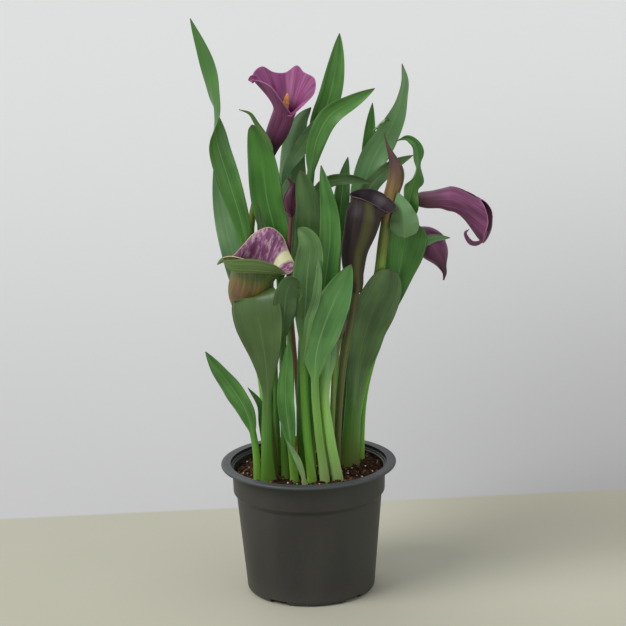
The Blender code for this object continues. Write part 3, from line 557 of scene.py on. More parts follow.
growLeaf("leaf_big_right", "dark", "leaf_green", {
    "route": [(36, 13, 0), (38, 12, 32), (42, 8, 75), (48, 1, 112), (57, -5, 142), (67, -9, 164),
               (73, -8, 181)],
    "width": 0.034, "stalk": 0.0072, "from": 0.42, "fold": 0.2, "bulge": 0.58, "point": 0.45,
    "colours": {"deep": (60, 88, 50), "light": (98, 132, 74), "foot": (108, 112, 58)}})
growLeaf("leaf_broad_right", "green", "leaf_green", {
    "route": [(38, 25, 0), (44.5, 20.5, 48), (51.5, 16.5, 80), (63, 11, 112), (71, 8, 135),
              (78, 7, 160), (82, 6, 180), (85, 4, 196), (88, 0, 210), (93, -4, 221)],
    "width": 0.034, "stalk": 0.0030, "from": 0.55, "fold": 0.2, "bulge": 0.72, "point": 0.4,
    "extras": [{"route": [(85, -12, 211), (85, -18, 219), (84, -20, 230), (80, -16, 248)],
                "width": 0.024, "stalk": 0.004, "bulge": 0.22, "fold": 0.6, "ripple": 0.1,
                "side": (-1.0, 0.0, 0.0)}],
    "colours": {"deep": (40, 90, 34), "light": (84, 144, 62), "back": (108, 144, 100)}})
growLeaf("leaf_thin_right", "pale", "leaf_green", {
    "route": [(41, 34, 0), (47, 34, 60), (62, 31, 115), (81, 25, 165), (92, 18, 190), (99, 14, 198),
              (111, 12, 203), (125, 10, 203)],
    "width": 0.012, "stalk": 0.0022, "from": 0.75})
growLeaf("leaf_pale_stalk", "pale", "leaf_pale", {
    "route": [(25, -27, 0), (19, -38, 41), (15, -42, 81), (20, -44, 112), (22, -46, 134),
              (29, -48, 154)],
    "width": 0.010, "stalk": 0.0040, "from": 0.7,
    "colours": {"stalk": (158, 210, 104), "foot": (182, 218, 132)}})
growLeaf("shoot_left", "pale", "leaf_green", {
    "route": [(-3, -38, 0), (-8, -44, 22), (-18, -47, 44)],
    "width": 0.005, "stalk": 0.0018, "from": 0.5})
growLeaf("shoot_right", "pale", "leaf_green", {
    "route": [(20, -20, 0), (17, -24, 16), (15, -26, 34)],
    "width": 0.004, "stalk": 0.0016, "from": 0.5})
growLeaf("dry_sheath", "dark", "dry_leaf", {
    "route": [(-12, -20, 0), (-13, -26, 26), (-14, -30, 52)],
    "width": 0.008, "stalk": 0.0022, "from": 0.5, "ripple": 0.3,
    "colours": {"deep": (110, 74, 42), "light": (176, 132, 84), "back": (130, 92, 56),
                "stalk": (150, 104, 64), "foot": (140, 90, 52), "rib": (190, 150, 100),
                "edge": (96, 62, 36)}})
print("leaves grown")


# A round stem along a route; gives back its end and its direction there. Its rings have a radius that
# widens a little at the soil, with shallow flutes round it.
def growStem(node, route, look, radius=0.0031):
    along = np.linspace(0.0, 1.0, 70)
    path = smoothPath(planted(route), along)
    tangents, sides, faces = carriedFrames(path, (1.0, 0.0, 0.0))
    around = np.linspace(0.0, 2.0 * math.pi, 21)[None, :-1]
    flute = 1.0 + 0.02 * np.cos(7.0 * around)
    width = radius * flute * (1.0 + 0.15 * np.exp(-np.clip(path[:, 2] - soilTop, 0, None) / 0.02))[:, None]
    rings = roundPath(path, sides, faces, width, around)
    points, quads, uvs, ends, endUvs = skinRound(rings[:, ::-1], path[0], path[-1], along)
    mesh = buildMesh(node + "_fine", points, [quads, ends], [uvs, endUvs], np.ones(len(points)))
    place(mesh, look, "stem_green", node)
    return path[-1], unit(path[-1] - path[-2])


# An open flower's sheet. Its throat is rolled round the axis through the route, a full turn and a lap
# more, and the over edge lies a little outside the under edge. The roll starts towards the rim's
# first point, seen from the rim's middle, and the rim is shared out by the same angles. From the last
# ring each line goes on to the rim as a cubic that leaves along the axis and arrives going outwards
# by "out" and onwards by "up". It gives back the axis from the stem, carried 25 mm past the throat,
# for the finger to stand on.
def openSpathe(node, slotName, look, start, direction, flower):
    points = raised(flower["route"])
    throat = np.linspace(0.0, 1.0, 22)
    axis = smoothPath(np.vstack([start, start + direction * 0.005, points]), throat)
    tangents, sides, faces = carriedFrames(axis, (1.0, 0.0, 0.02), firstTangent=direction)
    columns, lap = 97, 70.0     # lines round the roll, and the lap in degrees
    share = np.linspace(0.0, 1.0, columns)
    rimPoints = raised(flower["rim"])
    fine = smoothPath(rimPoints, np.linspace(0.0, 1.0, 400))
    toRim = fine - fine.mean(axis=0)
    turn = np.unwrap(np.arctan2(toRim.dot(faces[-1]), toRim.dot(sides[-1])))
    if turn[-1] < turn[0]:
        fine, turn = fine[::-1], turn[::-1]
    angles = turn[0] + np.radians(share * (360.0 + lap) - lap / 2)
    width = np.interp(throat, np.linspace(0.0, 1.0, len(flower["radii"])), np.asarray(flower["radii"]) * mm)
    width = softened(width, 5)[:, None] * (1.07 - 0.12 * share)[None, :]
    tube = roundPath(axis, sides, faces, width, angles)
    turn = np.maximum.accumulate(turn)
    turn = (turn - turn[0]) / max(turn[-1] - turn[0], 1e-6) + np.linspace(0.0, 1e-4, 400)
    matched = np.interp(share, turn, np.linspace(0.0, 1.0, 400))
    matched = softened(0.6 * matched + 0.4 * share, 9)
    matched = (matched - matched[0]) / (matched[-1] - matched[0])
    rim = np.stack([np.interp(matched, np.linspace(0.0, 1.0, 400), fine[:, k]) for k in range(3)], 1)
    far = rim - tube[-1]
    reach = np.linalg.norm(far, axis=1, keepdims=True)
    onward = tangents[-1]
    radial = rim - axis[-1]
    radial = unit(radial - (radial @ onward)[:, None] * onward)
    wave = flower.get("wave", 0.0) * np.sin(share * 2.0 * math.pi * 5.0)[:, None]
    leave = onward * reach * 0.9
    arrive = (radial * flower.get("out", 1.0) + onward * (flower.get("up", 0.2) + wave)) * reach
    s = np.linspace(0.0, 1.0, 30)[1:, None, None]
    limb = ((2 * s**3 - 3 * s**2 + 1) * tube[-1] + (s**3 - 2 * s**2 + s) * leave
            + (3 * s**2 - 2 * s**3) * rim + (s**3 - s**2) * arrive)
    grid = np.concatenate([tube, limb])
    along = np.concatenate([np.linspace(0.0, 0.45, 22), np.linspace(0.45, 1.0, 30)[1:]])
    skins = [skinOver(grid, 0.0006, share[None, :], along)]
    for tip in flower.get("tips", ()):
        curve = raised(tip["route"])
        leaf = dict({"stalk": 0.0006, "ripple": 0.0, "sheath": 0.0, "bulge": 0.2, "fold": 0.4}, **tip)
        tipGrid, thick, across, tipAlong = leafGrid(leaf, curve, 0.02, unit(curve[1] - curve[0]))
        skins.append(skinOver(tipGrid, thick, across, 0.7 + 0.25 * tipAlong))
    place(joined(node + "_fine", skins), look, slotName, node)
    inward = start + direction * 0.0015
    return np.vstack([inward, inward + direction * 0.004, axis[4:], axis[-1] + tangents[-1] * 0.025])


# A rolled bud: rings along the route whose radius falls by about a tenth round a turn and steps up
# again at the free edge, which winds round as it rises.
def rolledBud(node, slotName, look, start, direction, bud):
    points = raised(bud["route"])
    along = np.linspace(0.0, 1.0, 60)
    path = smoothPath(np.vstack([start, start + direction * 0.004, points]), along)
    tangents, sides, faces = carriedFrames(path, (1.0, 0.0, 0.02), firstTangent=direction)
    swell = np.interp(along, np.linspace(0.0, 1.0, len(bud["radii"])), np.asarray(bud["radii"]) * mm)
    swell = softened(swell, 7)[:, None]
    around = np.linspace(0.0, 2.0 * math.pi, 49)[None, :-1]
    winding = (around / (2.0 * math.pi) - 0.9 * along[:, None] - 0.3) % 1.0
    width = swell * (1.04 - 0.12 * winding + 0.10 * np.clip((winding - 0.92) / 0.08, 0.0, 1.0))
    rings = roundPath(path, sides, faces, width, around)
    points, quads, uvs, ends, endUvs = skinRound(rings[:, ::-1], path[0], path[-1], along)
    mesh = buildMesh(node + "_fine", points, [quads, ends], [uvs, endUvs], np.ones(len(points)))
    place(mesh, look, slotName, node)


# The finger inside a flower: rings along its axis that widen to a blunt tip, with small florets
# raised on them as the product of two sines that wind round it opposite ways.
def growSpadix(node, look, axis, length, radius=0.0021):
    whole = np.sum(np.linalg.norm(np.diff(axis, axis=0), axis=1))
    length = min(length, 0.97 * whole)
    along = np.linspace(0.0, 1.0, 90)
    path = smoothPath(axis, along[:-1] * length / whole)
    tip = smoothPath(axis, [0.0, length / whole])[-1]
    tangents, sides, faces = carriedFrames(path, (0.6, 0.8, 0.0))
    steps = along[:-1, None]
    width = radius * np.sqrt(1.0 - steps**6) * (0.55 + 0.45 * steps)
    around = np.linspace(0.0, 2.0 * math.pi, 41)[None, :-1]
    floret = np.sin(8.0 * around + 40.0 * steps) * np.sin(8.0 * around - 62.0 * steps + 1.0)
    width = width * (1.0 + 0.09 * floret)
    rings = roundPath(path, sides, faces, width, around)
    points, quads, uvs, ends, endUvs = skinRound(rings[:, ::-1], path[0], tip, along[:-1])
    mesh = buildMesh(node + "_fine", points, [quads, ends], [uvs, endUvs], np.ones(len(points)))
    place(mesh, look, "spadix_yellow", node)


finger = stemLook("spadix_look", (176, 112, 48), (222, 170, 92), (206, 140, 70), (0.2, 0.8))

# Each flower's stem, route, rim and tips are in millimetres above the soil's edge, and its radii are the
# throat's or the bud's along the route. The finger's axis ends at "finger".
openFlower = {
    "stem": [(-27, 14, 0), (-29, 15, 70), (-38, 16, 140), (-45, 16, 210), (-39, 16, 242),
             (-30, 15, 270)],
    "route": [(-23, 14, 290), (-17.5, 8, 303), (-14, 4, 313)], "radii": (3.4, 5.5, 8.5, 9.5, 9),
    "rim": [(-8, -13, 316), (-16, -17, 328), (-24, -16, 339), (-33, -8, 343), (-39.5, -2, 344),
            (-37, 8, 350), (-31, 16, 352), (-22, 24, 346), (-12, 28, 345), (-2, 27, 351),
            (3, 24, 346), (12.7, 12, 341), (12, 2, 331), (4, -6, 323), (-8, -10, 313)],
    "out": 0.75, "up": 0.5, "wave": 0.1, "finger": (-10, 1, 333),
    "tips": [{"route": [(-37, -2, 343), (-39, -2, 344), (-43, -1, 343)], "width": 0.007}]}
look = stemLook("stem_open_look", (96, 122, 44), (142, 158, 62), (92, 48, 78), (0.86, 0.98))
end, heading = growStem("stem_open_flower", openFlower["stem"], look)
mauve = spatheLook("bract_open_look", ((88, 40, 72), (136, 70, 114)), ((112, 46, 92), (164, 84, 138)),
                   (168, 98, 148), (58, 26, 48))
core = openSpathe("bract_open_flower", "bract_mauve", mauve, end, heading, openFlower)
core[-1] = raised(openFlower["finger"])
growSpadix("spadix_open_flower", finger, core, 0.074, 0.0037)

hangingFlower = {
    "stem": [(30, 40, 0), (38, 39, 60), (55, 37, 110), (71, 31, 160), (77, 21, 200), (80, 17, 218),
             (84, 14, 229), (90, 12, 235), (95, 11, 236)],
    "route": [(108, 8, 237), (117, 6, 238), (125, 5, 238)],
    "radii": (4.2, 6.4, 7.0, 7.2, 7.6, 8.6, 11),
    "rim": [(162, 16, 220), (161, 16, 209), (157, 12, 201), (153, 4, 199), (153, -6, 207),
            (156, -9, 220), (153, -8, 233), (150, -2, 238), (156, 8, 233), (161, 15, 225),
            (162, 17, 219)],
    "out": 0.35, "up": 0.6,
    "tips": [{"route": [(156, 5, 209), (153, 1, 202), (148, -2, 199), (142, -3, 200), (138, -3, 205),
                        (137, -4, 210), (140, -5, 213)], "width": 0.009, "side": (0.2, 1.0, 0.0)}]}
look = stemLook("stem_hanging_look", (92, 124, 52), (128, 152, 70), (96, 60, 74), (0.8, 0.97))
end, heading = growStem("stem_hanging_flower", hangingFlower["stem"], look)
plum = spatheLook("bract_hanging_look", ((92, 50, 78), (142, 76, 120)), ((46, 14, 34), (76, 28, 58)),
                  (170, 110, 150), (94, 62, 70))
core = openSpathe("bract_hanging_flower", "bract_purple", plum, end, heading, hangingFlower)
growSpadix("spadix_hanging_flower", finger, core, 0.034)

darkFlower = {
    "stem": [(24, -8, 0), (27, -14, 60), (32, -19, 105), (39, -22, 140), (43, -23, 166)],
    "route": [(42, -23, 182), (43, -23, 201), (48, -24, 218), (51, -25, 230)],
    "radii": (3.8, 8, 10, 11.5, 13.5, 15),
    "rim": [(64, -39, 240), (51, -40, 247), (41, -33, 249), (40, -20, 249), (48, -9, 250),
            (59, -5, 249), (68, -9, 246), (75, -17, 241), (78, -26, 238), (72, -36, 235),
            (62, -39, 240)],
    "out": 0.75, "up": 0.35, "wave": 0.1}
look = stemLook("stem_dark_look", (70, 76, 40), (104, 112, 54), (60, 52, 40), (0.75, 0.97))
end, heading = growStem("stem_dark_flower", darkFlower["stem"], look)
black = spatheLook("bract_dark_look", ((34, 25, 29), (58, 45, 47)), ((22, 9, 17), (44, 20, 35)),
                   (92, 58, 88), (52, 44, 34), rib=(84, 84, 40, 0.10))
core = openSpathe("bract_dark_flower", "bract_black", black, end, heading, darkFlower)
growSpadix("spadix_dark_flower", finger, core, 0.034)

stripedHood = {
    "stem": [(-29, -14, 0), (-33, -18, 60), (-40, -23, 110), (-44, -25, 138)],
    "route": [(-47, -25, 155), (-47, -27, 168), (-44, -29, 178)], "radii": (3.5, 9, 14, 17, 18),
    "rim": [(-24, -50, 190), (-43, -54, 200), (-59, -50, 204), (-67, -40, 201), (-60, -26, 199),
            (-51, -16, 206), (-41, -9, 215), (-28, -7, 219), (-18, -9, 212), (-13, -16, 201),
            (-8, -29, 190), (-13, -42, 186), (-24, -48, 189)],
    "out": 0.9, "up": 0.25, "wave": 0.06,
    "tips": [{"route": [(-65, -40, 200), (-69, -41, 198), (-72, -41, 195)], "width": 0.004},
             {"route": [(-67, -46, 199), (-58, -55, 197), (-43, -58, 197), (-28, -55, 194),
                        (-15, -48, 188)], "width": 0.012, "side": (0.0, 0.0, 1.0), "bulge": 0.42,
              "fold": 0.15}]}
look = stemLook("stem_hood_look", (84, 96, 44), (122, 126, 58), (112, 88, 44), (0.7, 0.95))
end, heading = growStem("stem_striped_hood", stripedHood["stem"], look)
striped = spatheLook("bract_striped_look", ((98, 78, 36), (136, 112, 52)), ((104, 50, 84), (150, 92, 136)),
                     (214, 194, 150), (96, 88, 42), cream=0.75, green=0.8)
core = openSpathe("bract_striped_hood", "bract_striped", striped, end, heading, stripedHood)
growSpadix("spadix_striped_hood", finger, core, 0.026)

noddingFlower = {
    "stem": [(38, 40, 0), (46, 44, 60), (62, 43, 115), (82, 37, 165), (92, 31, 190), (97, 28, 199)],
    "route": [(103, 26, 201), (109, 25, 195), (115, 24, 186), (119, 24, 176), (121, 24, 169),
              (120, 24, 163)], "radii": (3.4, 9, 12.5, 13, 12, 8, 3.6, 2.0, 0.4)}
look = stemLook("stem_nodding_look", (88, 120, 50), (124, 150, 66), (80, 60, 62))
end, heading = growStem("stem_nodding_flower", noddingFlower["stem"], look)
look = stemLook("bract_nodding_look", (96, 38, 78), (124, 56, 104), (62, 30, 50), (0.35, 0.8))
rolledBud("bract_nodding_flower", "bract_purple", look, end, heading, noddingFlower)

pointedBud = {
    "stem": [(28, 23, 0), (32, 22, 60), (45, 14, 115), (57, 8, 150), (63, -1, 173), (67, -6, 203),
             (70, -7, 222)],
    "route": [(75, -8, 246), (79, -9, 264), (72, -10, 287), (69, -10, 298)],
    "radii": (4.6, 5.8, 6.4, 6.6, 7.2, 7.0, 4.4, 2.2, 0.9, 0.3)}
look = stemLook("stem_bud_look", (104, 152, 50), (140, 186, 76), (104, 92, 50), (0.80, 0.93))
end, heading = growStem("stem_pointed_bud", pointedBud["stem"], look, 0.0044)
look = stemLook("bract_bud_look", (150, 128, 70), (112, 78, 62), (74, 46, 52), (0.25, 0.75))
rolledBud("bract_pointed_bud", "bract_brown", look, end, heading, pointedBud)

curledBloom = {
    "stem": [(-5, 5, 0), (-9, -2, 90), (-13, -8, 170), (-12, -8, 205), (-10, -8, 228)],
    "route": [(-11, -9, 243), (-8, -10, 256), (-12, -12, 262)], "radii": (2.2, 5.2, 5.6, 4.2, 2.4, 0.6)}
look = stemLook("stem_curled_look", (98, 70, 56), (132, 96, 76), (110, 62, 72))
end, heading = growStem("stem_curled_bloom", curledBloom["stem"], look, 0.0020)
look = stemLook("bract_curled_look", (58, 26, 44), (120, 52, 86), (52, 22, 40), (0.3, 0.8))
rolledBud("bract_curled_bloom", "bract_purple", look, end, heading, curledBloom)

smallBud = {
    "stem": [(19, -14, 0), (21, -21, 50), (24, -30, 100), (28, -34, 128)],
    "route": [(31, -34, 146), (33, -34, 162)], "radii": (2.2, 4.6, 4.6, 3.0, 0.6)}
look = stemLook("stem_small_look", (86, 118, 50), (120, 148, 66), (96, 84, 58))
end, heading = growStem("stem_small_bud", smallBud["stem"], look, 0.0022)
look = stemLook("bract_small_look", (70, 44, 48), (104, 66, 68), (56, 34, 44), (0.3, 0.9))
rolledBud("bract_small_bud", "bract_purple", look, end, heading, smallBud)
print("flowers open")


pot = {"rim": 0.076, "lip": 0.0065, "lipThick": 0.0028, "height": 0.1145, "collar": 0.0664,
       "collarDepth": 0.026, "taper": 0.0006, "step": 0.0035, "stepHeight": 0.005, "base": 0.0560,
       "corner": 0.0045, "wall": 0.0013, "floor": 0.0018}


# Points round a corner, from one angle to another in degrees.
def corner(x, z, radius, start, end, count):
    turn = np.radians(np.linspace(start, end, count))
    return np.stack([x + radius * np.cos(turn), z + radius * np.sin(turn)], -1)


# The pot's section, turned round Z: up the inside from the floor, over the rolled lip and down the
# outside.
def potMesh():
    p = pot
    shoulder = p["height"] - p["collarDepth"]
    stepZ = shoulder - p["stepHeight"]
    bodyTop = p["collar"] - p["step"]
    foot = p["collar"] - p["taper"]
    roll = p["lipThick"] / 2
    bend = p["corner"] - p["wall"]
    inner = p["rim"] - p["lip"]
    lipZ = p["height"] - p["lipThick"]
    profile = np.concatenate([
        [(0.012, p["floor"]), (0.030, p["floor"])],
        corner(p["base"] - p["corner"], p["floor"] + bend, bend, -90, 0, 7),
        np.linspace((p["base"] - p["wall"], 0.012), (bodyTop - p["wall"], stepZ - 0.001), 8),
        [(bodyTop - p["wall"] + 0.0004, stepZ + 0.0002), (foot - p["wall"], shoulder)],
        np.linspace((foot - p["wall"], shoulder + 0.001), (p["collar"] - p["wall"], lipZ - 0.002), 5),
        corner(inner - 0.0022, lipZ + 0.0005, 0.0022, -20, 75, 6),
        [(inner + 0.0008, p["height"] - 0.00012), (p["rim"] - 0.0035, p["height"])],
        corner(p["rim"] - roll, p["height"] - roll, roll, 80, -80, 12),
        [(p["rim"] - 0.004, lipZ + 0.0001), (p["collar"] + 0.0014, lipZ)],
        corner(p["collar"] + 0.0012, lipZ - 0.0012, 0.0012, 100, 178, 5),
        np.linspace((p["collar"], lipZ - 0.003), (foot + 0.0001, shoulder + 0.0014), 6),
        corner(foot - 0.0009, shoulder + 0.0009, 0.0009, 0, -62, 6),
        corner(bodyTop + 0.0016, stepZ + 0.0010, 0.0016, 130, 182, 5),
        np.linspace((bodyTop, stepZ - 0.001), (p["base"] + 0.0002, p["corner"] + 0.004), 14),
        corner(p["base"] - p["corner"], p["corner"], p["corner"], 5, -90, 9),
        [(0.042, 0.0), (0.020, 0.0)]])
    sides = 160
    around = np.linspace(0.0, 2.0 * math.pi, sides + 1)[None, :-1]
    radius, height = profile[:, :1], profile[:, 1:]
    rings = np.stack([radius * np.cos(around), radius * np.sin(around), height + 0 * around], -1)
    along = np.linspace(0.0, 1.0, len(profile))
    points, quads, uvs, ends, endUvs = skinRound(rings, (0, 0, p["floor"]), (0, 0, 0), along)
    return buildMesh("pot_body", points, [quads[:, ::-1], ends[:, ::-1]], [uvs[:, ::-1], endUvs[:, ::-1]],
                     np.ones(len(points)))


# A dark matt plastic with a fine grain, faint rings from the mould, dust near the foot and a paler,
# bluish lip that is a painted highlight.
def plasticLook():
    look, tree, shader, u, v, own = startLook("pot_look", 0.5, 0.45)
    height = put(tree, "SeparateXYZ", {0: own}).outputs[2]
    grain = cloud(tree, own, 900.0, 2.0)
    smear = cloud(tree, stretched(tree, own, 30.0, 30.0, 9.0), 1.0, 4.0)
    body = blend(tree, ramp(tree, smear, 0.3, 0.7), tint(43, 42, 40), tint(53, 52, 49))
    body = blend(tree, times(tree, ramp(tree, height, 0.022, 0.0), 0.35), body, tint(66, 63, 57))
    # The lip's paler, bluish band is a painted highlight.
    lip = ramp(tree, height, pot["height"] - 0.0040, pot["height"] - 0.0018)
    body = blend(tree, lip, body, tint(62, 65, 69))
    rings = put(tree, "Math", {0: times(tree, height, 1400.0)}, operation="SINE").outputs[0]
    body = blend(tree, times(tree, ramp(tree, grain, 0.55, 0.75), 0.2), body, tint(74, 72, 68))
    tree.links.new(body, shader.inputs["Base Color"])
    rough = plus(tree, 0.42, times(tree, smear, 0.16))
    tree.links.new(rough, shader.inputs["Roughness"])
    bumped(tree, shader, plus(tree, grain, times(tree, rings, 0.08)), 0.25, 0.0002)
    return look


notch = {"first": -31.0, "count": 5, "width": 0.017, "height": 0.0038, "reach": 0.0075}
shell = potMesh()
body = bpy.data.objects.new("nursery_pot_fine", shell)
bpy.context.scene.collection.objects.link(body)
cutters = []
for index in range(notch["count"]):
    turn = math.radians(notch["first"] + index * 360.0 / notch["count"] - 90.0)
    x = np.array([-1, 1, 1, -1, -1, 1, 1, -1]) * notch["reach"] + pot["base"]
    y = np.array([-1, -1, 1, 1, -1, -1, 1, 1]) * notch["width"] / 2
    z = np.array([-1, -1, -1, -1, 1, 1, 1, 1]) * notch["height"]
    cosine, sine = math.cos(turn), math.sin(turn)
    box = np.stack([x * cosine - y * sine, x * sine + y * cosine, z], -1)
    sides = [(3, 2, 1, 0), (4, 5, 6, 7), (0, 1, 5, 4), (1, 2, 6, 5), (2, 3, 7, 6), (3, 0, 4, 7)]
    block = bpy.data.meshes.new("notch_%d" % index)
    block.from_pydata([tuple(point) for point in box], [], sides)
    cutter = bpy.data.objects.new(block.name, block)
    bpy.context.scene.collection.objects.link(cutter)
    cutters.append(cutter)
    cut = body.modifiers.new("cut_%d" % index, "BOOLEAN")
    cut.object, cut.solver = cutter, "EXACT"
ready = bpy.data.meshes.new_from_object(body.evaluated_get(bpy.context.evaluated_depsgraph_get()))
ready.name = "nursery_pot_fine"
for old in cutters + [body]:
    bpy.data.objects.remove(old, do_unlink=True)
ready.set_sharp_from_angle(angle=math.radians(40))
place(ready, plasticLook(), "pot_plastic", "nursery_pot")
print("pot turned")


dice = np.random.default_rng(11)
soil = {"radius": 0.0644, "low": 0.0035, "lowRadius": 0.0544, "crown": 0.0015, "bank": 0.0050,
        "waves": 40}
swing = dice.uniform(0.0, 2.0 * math.pi, (soil["waves"], 2))
pitch = 2.0 * math.pi / dice.uniform(0.003, 0.013, soil["waves"])


# The soil's height: a low crown, a bank towards the back right, and many small waves that cross.
def soilHeight(x, y):
    r2 = (x * x + y * y) / soil["radius"] ** 2
    bank = soil["bank"] * np.clip((0.8 * x + 0.9 * y) / 0.075 - 0.25, 0.0, 1.0) ** 1.2
    height = soilTop + soil["crown"] * (1.0 - r2) + bank
    for k in range(soil["waves"]):
        across = x * math.cos(swing[k, 0]) + y * math.sin(swing[k, 0])
        height = height + 0.00016 * np.sin(pitch[k] * across + swing[k, 1])
    return height


# The soil's body: a disc of rings over that height, then down the pot's inside to its floor.
def soilMesh():
    around = np.linspace(0.0, 2.0 * math.pi, 241)[None, :-1]
    disc = np.linspace(0.002, soil["radius"], 62)[:, None]
    x, y = disc * np.cos(around), disc * np.sin(around)
    top = np.stack([x, y, soilHeight(x, y) + dice.normal(0.0, 0.00018, x.shape)], -1)
    skirt = np.array([(soil["radius"] - 0.0002, 0.090), (0.0610, 0.083), (soil["lowRadius"], 0.006),
                      (0.050, soil["low"]), (0.010, soil["low"])])
    wall = np.stack([skirt[:, :1] * np.cos(around), skirt[:, :1] * np.sin(around),
                     skirt[:, 1:] + 0 * around], -1)
    rings = np.concatenate([top, wall])
    points, quads, uvs, ends, endUvs = skinRound(rings, (0, 0, soilTop + 0.0015), (0, 0, soil["low"]),
                                                 np.linspace(0.0, 1.0, len(rings)))
    quads, ends = quads[:, ::-1], ends[:, ::-1]
    return points, quads, ends, uvs[:, ::-1], endUvs[:, ::-1]


# Crumbs: each is an icosahedron whose corners are pushed in or out at random, squeezed along its own
# axes, turned and set on the soil. "tone" from 0 to 1 picks its colour; above 0.91 it is a white grain.
def crumbs(count):
    golden = (1 + math.sqrt(5)) / 2
    base = unit(np.array([(-1, golden, 0), (1, golden, 0), (-1, -golden, 0), (1, -golden, 0),
                          (0, -1, golden), (0, 1, golden), (0, -1, -golden), (0, 1, -golden),
                          (golden, 0, -1), (golden, 0, 1), (-golden, 0, -1), (-golden, 0, 1)], float))
    faces = np.array([(0, 11, 5), (0, 5, 1), (0, 1, 7), (0, 7, 10), (0, 10, 11), (1, 5, 9), (5, 11, 4),
                      (11, 10, 2), (10, 7, 6), (7, 1, 8), (3, 9, 4), (3, 4, 2), (3, 2, 6), (3, 6, 8),
                      (3, 8, 9), (4, 9, 5), (2, 4, 11), (6, 2, 10), (8, 6, 7), (9, 8, 1)])
    r = soil["radius"] * 0.975 * np.sqrt(dice.uniform(0.0, 1.0, count))
    a = dice.uniform(0.0, 2.0 * math.pi, count)
    x, y = r * np.cos(a), r * np.sin(a)
    tone = dice.uniform(0.0, 1.0, count)
    white = tone > 0.91
    size = np.where(white, dice.uniform(0.0005, 0.0012, count), dice.uniform(0.0006, 0.0020, count))
    spans = ((0.7, 1.6), (0.5, 1.0), (0.4, 0.8))
    squeeze = np.stack([dice.uniform(low, high, count) for low, high in spans], 1)
    squeeze[white] = 1.0
    shape = base[None] * dice.uniform(0.75, 1.2, (count, 12, 1)) * squeeze[:, None] * size[:, None, None]
    spin = dice.uniform(0.0, 2.0 * math.pi, count)[:, None]
    tilt = dice.normal(0.0, 0.5, count)[:, None]
    sx = shape[..., 0] * np.cos(tilt) - shape[..., 2] * np.sin(tilt)
    sz = shape[..., 0] * np.sin(tilt) + shape[..., 2] * np.cos(tilt)
    px = sx * np.cos(spin) - shape[..., 1] * np.sin(spin) + x[:, None]
    py = sx * np.sin(spin) + shape[..., 1] * np.cos(spin) + y[:, None]
    pz = sz + (soilHeight(x, y) + size * 0.25)[:, None]
    points = np.stack([px, py, pz], -1).reshape(-1, 3)
    every = (faces[None] + (np.arange(count) * 12)[:, None, None]).reshape(-1, 3)
    return points, every, np.repeat(tone, 12)


# Potting mix: dark brown peat with redder fibres, and each crumb's colour from its tone.
def mixLook():
    look, tree, shader, u, v, own = startLook("mix_look", 0.9, 0.2)
    tone = put(tree, "Attribute", attribute_name="front").outputs["Fac"]
    fine = cloud(tree, own, 700.0, 4.0, 0.7)
    peat = blend(tree, ramp(tree, fine, 0.35, 0.7), tint(30, 19, 13), tint(74, 48, 32))
    bark = blend(tree, ramp(tree, tone, 0.3, 0.75), peat, tint(112, 70, 46))
    bark = blend(tree, ramp(tree, tone, 0.80, 0.90), bark, tint(140, 108, 76))
    grit = blend(tree, maths(tree, "GREATER_THAN", tone, 0.91), bark, tint(214, 206, 190))
    tree.links.new(grit, shader.inputs["Base Color"])
    bumped(tree, shader, fine, 0.8, 0.0006)
    return look


points, quads, ends, uvs, endUvs = soilMesh()
bits, bitFaces, tones = crumbs(1500)
zero = np.zeros((len(bitFaces), 3, 2))
mesh = buildMesh("potting_mix_fine", np.concatenate([points, bits]), [quads, ends, bitFaces + len(points)],
                 [uvs, endUvs, zero], np.concatenate([np.full(len(points), 0.05), tones]))
place(mesh, mixLook(), "mix", "potting_mix")

# Each tuber's heading in degrees, and how far out it lies as a share of the reach.
tuber = {"radius": 0.017, "thick": 0.022, "reach": 0.0409,
         "places": [(207.0, 0.90), (293.0, 0.74), (34.0, 0.93), (122.0, 0.785)]}
look, tree, shader, u, v, own = startLook("tuber_look", 0.85, 0.3)
skin = cloud(tree, own, 300.0, 4.0, 0.7)
tree.links.new(blend(tree, ramp(tree, skin, 0.35, 0.65), tint(104, 70, 42), tint(166, 124, 78)),
               shader.inputs["Base Color"])
bumped(tree, shader, skin, 0.6, 0.0008)
for number, (heading, share) in enumerate(tuber["places"], start=1):
    x = share * tuber["reach"] * math.cos(math.radians(heading))
    y = share * tuber["reach"] * math.sin(math.radians(heading))
    # A thick disc with a round edge, lumpy by crossed sines round and up it.
    up = np.linspace(0.04, math.pi - 0.04, 40)[:, None]
    around = np.linspace(0.0, 2.0 * math.pi, 65)[None, :-1]
    lump = 1.0 - 0.02 * (1.0 + np.sin(5 * around + number) * np.sin(3 * up)) * np.sin(up)
    wide = (tuber["radius"] - tuber["thick"] / 2) * np.sin(up) ** 0.3 + tuber["thick"] / 2 * np.sin(up)
    rings = np.stack([x + wide * lump * np.cos(around), y + wide * lump * np.sin(around),
                      tuberTop - tuber["thick"] / 2 * (1.0 - np.cos(up)) + 0 * around], -1)
    bottom = (x, y, tuberTop - tuber["thick"])
    points, quads, uvs, ends, endUvs = skinRound(rings[:, ::-1], (x, y, tuberTop), bottom,
                                                 np.linspace(0.0, 1.0, 40))
    quads, ends = quads[:, ::-1], ends[:, ::-1]
    mesh = buildMesh("tuber_%d_fine" % number, points, [quads, ends], [uvs[:, ::-1], endUvs[:, ::-1]],
                     np.ones(len(points)))
    place(mesh, look, "tuber_skin", "tuber_%d" % number)
print("soil filled")
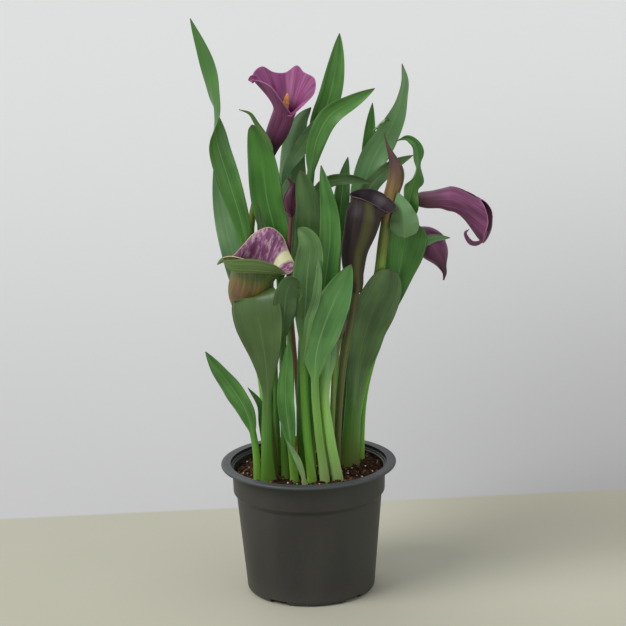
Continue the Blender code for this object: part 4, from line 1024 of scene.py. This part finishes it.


# A khaki near the pot with a painted shadow that darkens it to the back right; past a slightly
# slanting line it is light grey with painted shade, darkest at the line, more so on the right, and
# lighter as one over the distance from the front falls.
def floorLook():
    look, tree, shader, u, v, own = startLook("floor_look", 0.75, 0.25)
    where = put(tree, "SeparateXYZ", {0: own})
    x, y = where.outputs[0], where.outputs[1]
    tone = cloud(tree, own, 6.0, 2.0)
    near = blend(tree, tone, tint(178, 177, 160), tint(184, 183, 167))
    # Painted shadow of the plant, darkening the floor to the back right.
    paintedShadow = times(tree, ramp(tree, x, 0.02, 0.20), ramp(tree, y, -0.06, 0.18))
    near = blend(tree, times(tree, paintedShadow, 0.8), near, tint(160, 158, 142))
    # Painted shade past the line: darkest at the line, more so on the right with the plant's painted shadow,
    # lighter with distance.
    nearness = maths(tree, "DIVIDE", 2.0, plus(tree, y, 1.8))
    across = times(tree, x, nearness)
    low = blend(tree, ramp(tree, across, -0.16, 0.34), tint(191, 191, 192), tint(162, 162, 162))
    far = blend(tree, ramp(tree, nearness, 0.28, 1.02), tint(212, 213, 213), low)
    line = minus(tree, y, times(tree, x, 0.08))
    body = blend(tree, ramp(tree, line, 0.216, 0.222), near, far)
    tree.links.new(body, shader.inputs["Base Color"])
    return look


ground = bpy.data.meshes.new("floor")
ground.from_pydata([(-12, -12, 0), (12, -12, 0), (12, 12, 0), (-12, 12, 0)], [], [(0, 1, 2, 3)])
ground.uv_layers.new(name="UVMap")
ground.materials.append(floorLook())
floor = bpy.data.objects.new("floor", ground)
bpy.context.scene.collection.objects.link(floor)


# A soft light that shines from a far place towards the middle of the plant; spread is its width in
# degrees.
def softLight(name, spot, spread, strength, colour):
    light = bpy.data.lights.new(name, "SUN")
    light.angle, light.energy, light.color = math.radians(spread), strength, colour
    made = bpy.data.objects.new(name, light)
    bpy.context.scene.collection.objects.link(made)
    made.location = spot
    made.rotation_euler = (Vector((0.0, 0.0, 0.22)) - Vector(spot)).to_track_quat("-Z", "Y").to_euler()


softLight("key", (-1.5, -0.9, 1.9), 34.0, 1.9, (1.0, 0.99, 0.97))
softLight("fill", (1.6, -1.3, 1.1), 60.0, 0.45, (0.96, 0.98, 1.0))
softLight("rim", (-0.8, 1.4, 1.4), 50.0, 0.5, (1.0, 1.0, 1.0))
world = bpy.data.worlds.new("studio")
world.use_nodes = True
world.node_tree.nodes["Background"].inputs[0].default_value = (0.86, 0.87, 0.88, 1.0)
world.node_tree.nodes["Background"].inputs[1].default_value = 0.62
bpy.context.scene.world = world
bpy.context.scene.view_settings.view_transform = "Standard"

view = {"lens": 124.64, "place": (0.0067, -1.8, 0.6846), "tilt": 76.309, "roll": -1.273}
cam = bpy.data.cameras.new("camera")
cam.sensor_width, cam.lens = 36.0, view["lens"]
cam.dof.use_dof = False
camera = bpy.data.objects.new("camera", cam)
bpy.context.scene.collection.objects.link(camera)
camera.location = view["place"]
camera.rotation_mode = "XYZ"
tilt = Matrix.Rotation(math.radians(view["tilt"]), 4, "X")
camera.rotation_euler = (tilt @ Matrix.Rotation(math.radians(view["roll"]), 4, "Z")).to_euler()
bpy.context.scene.camera = camera
print("stage set")
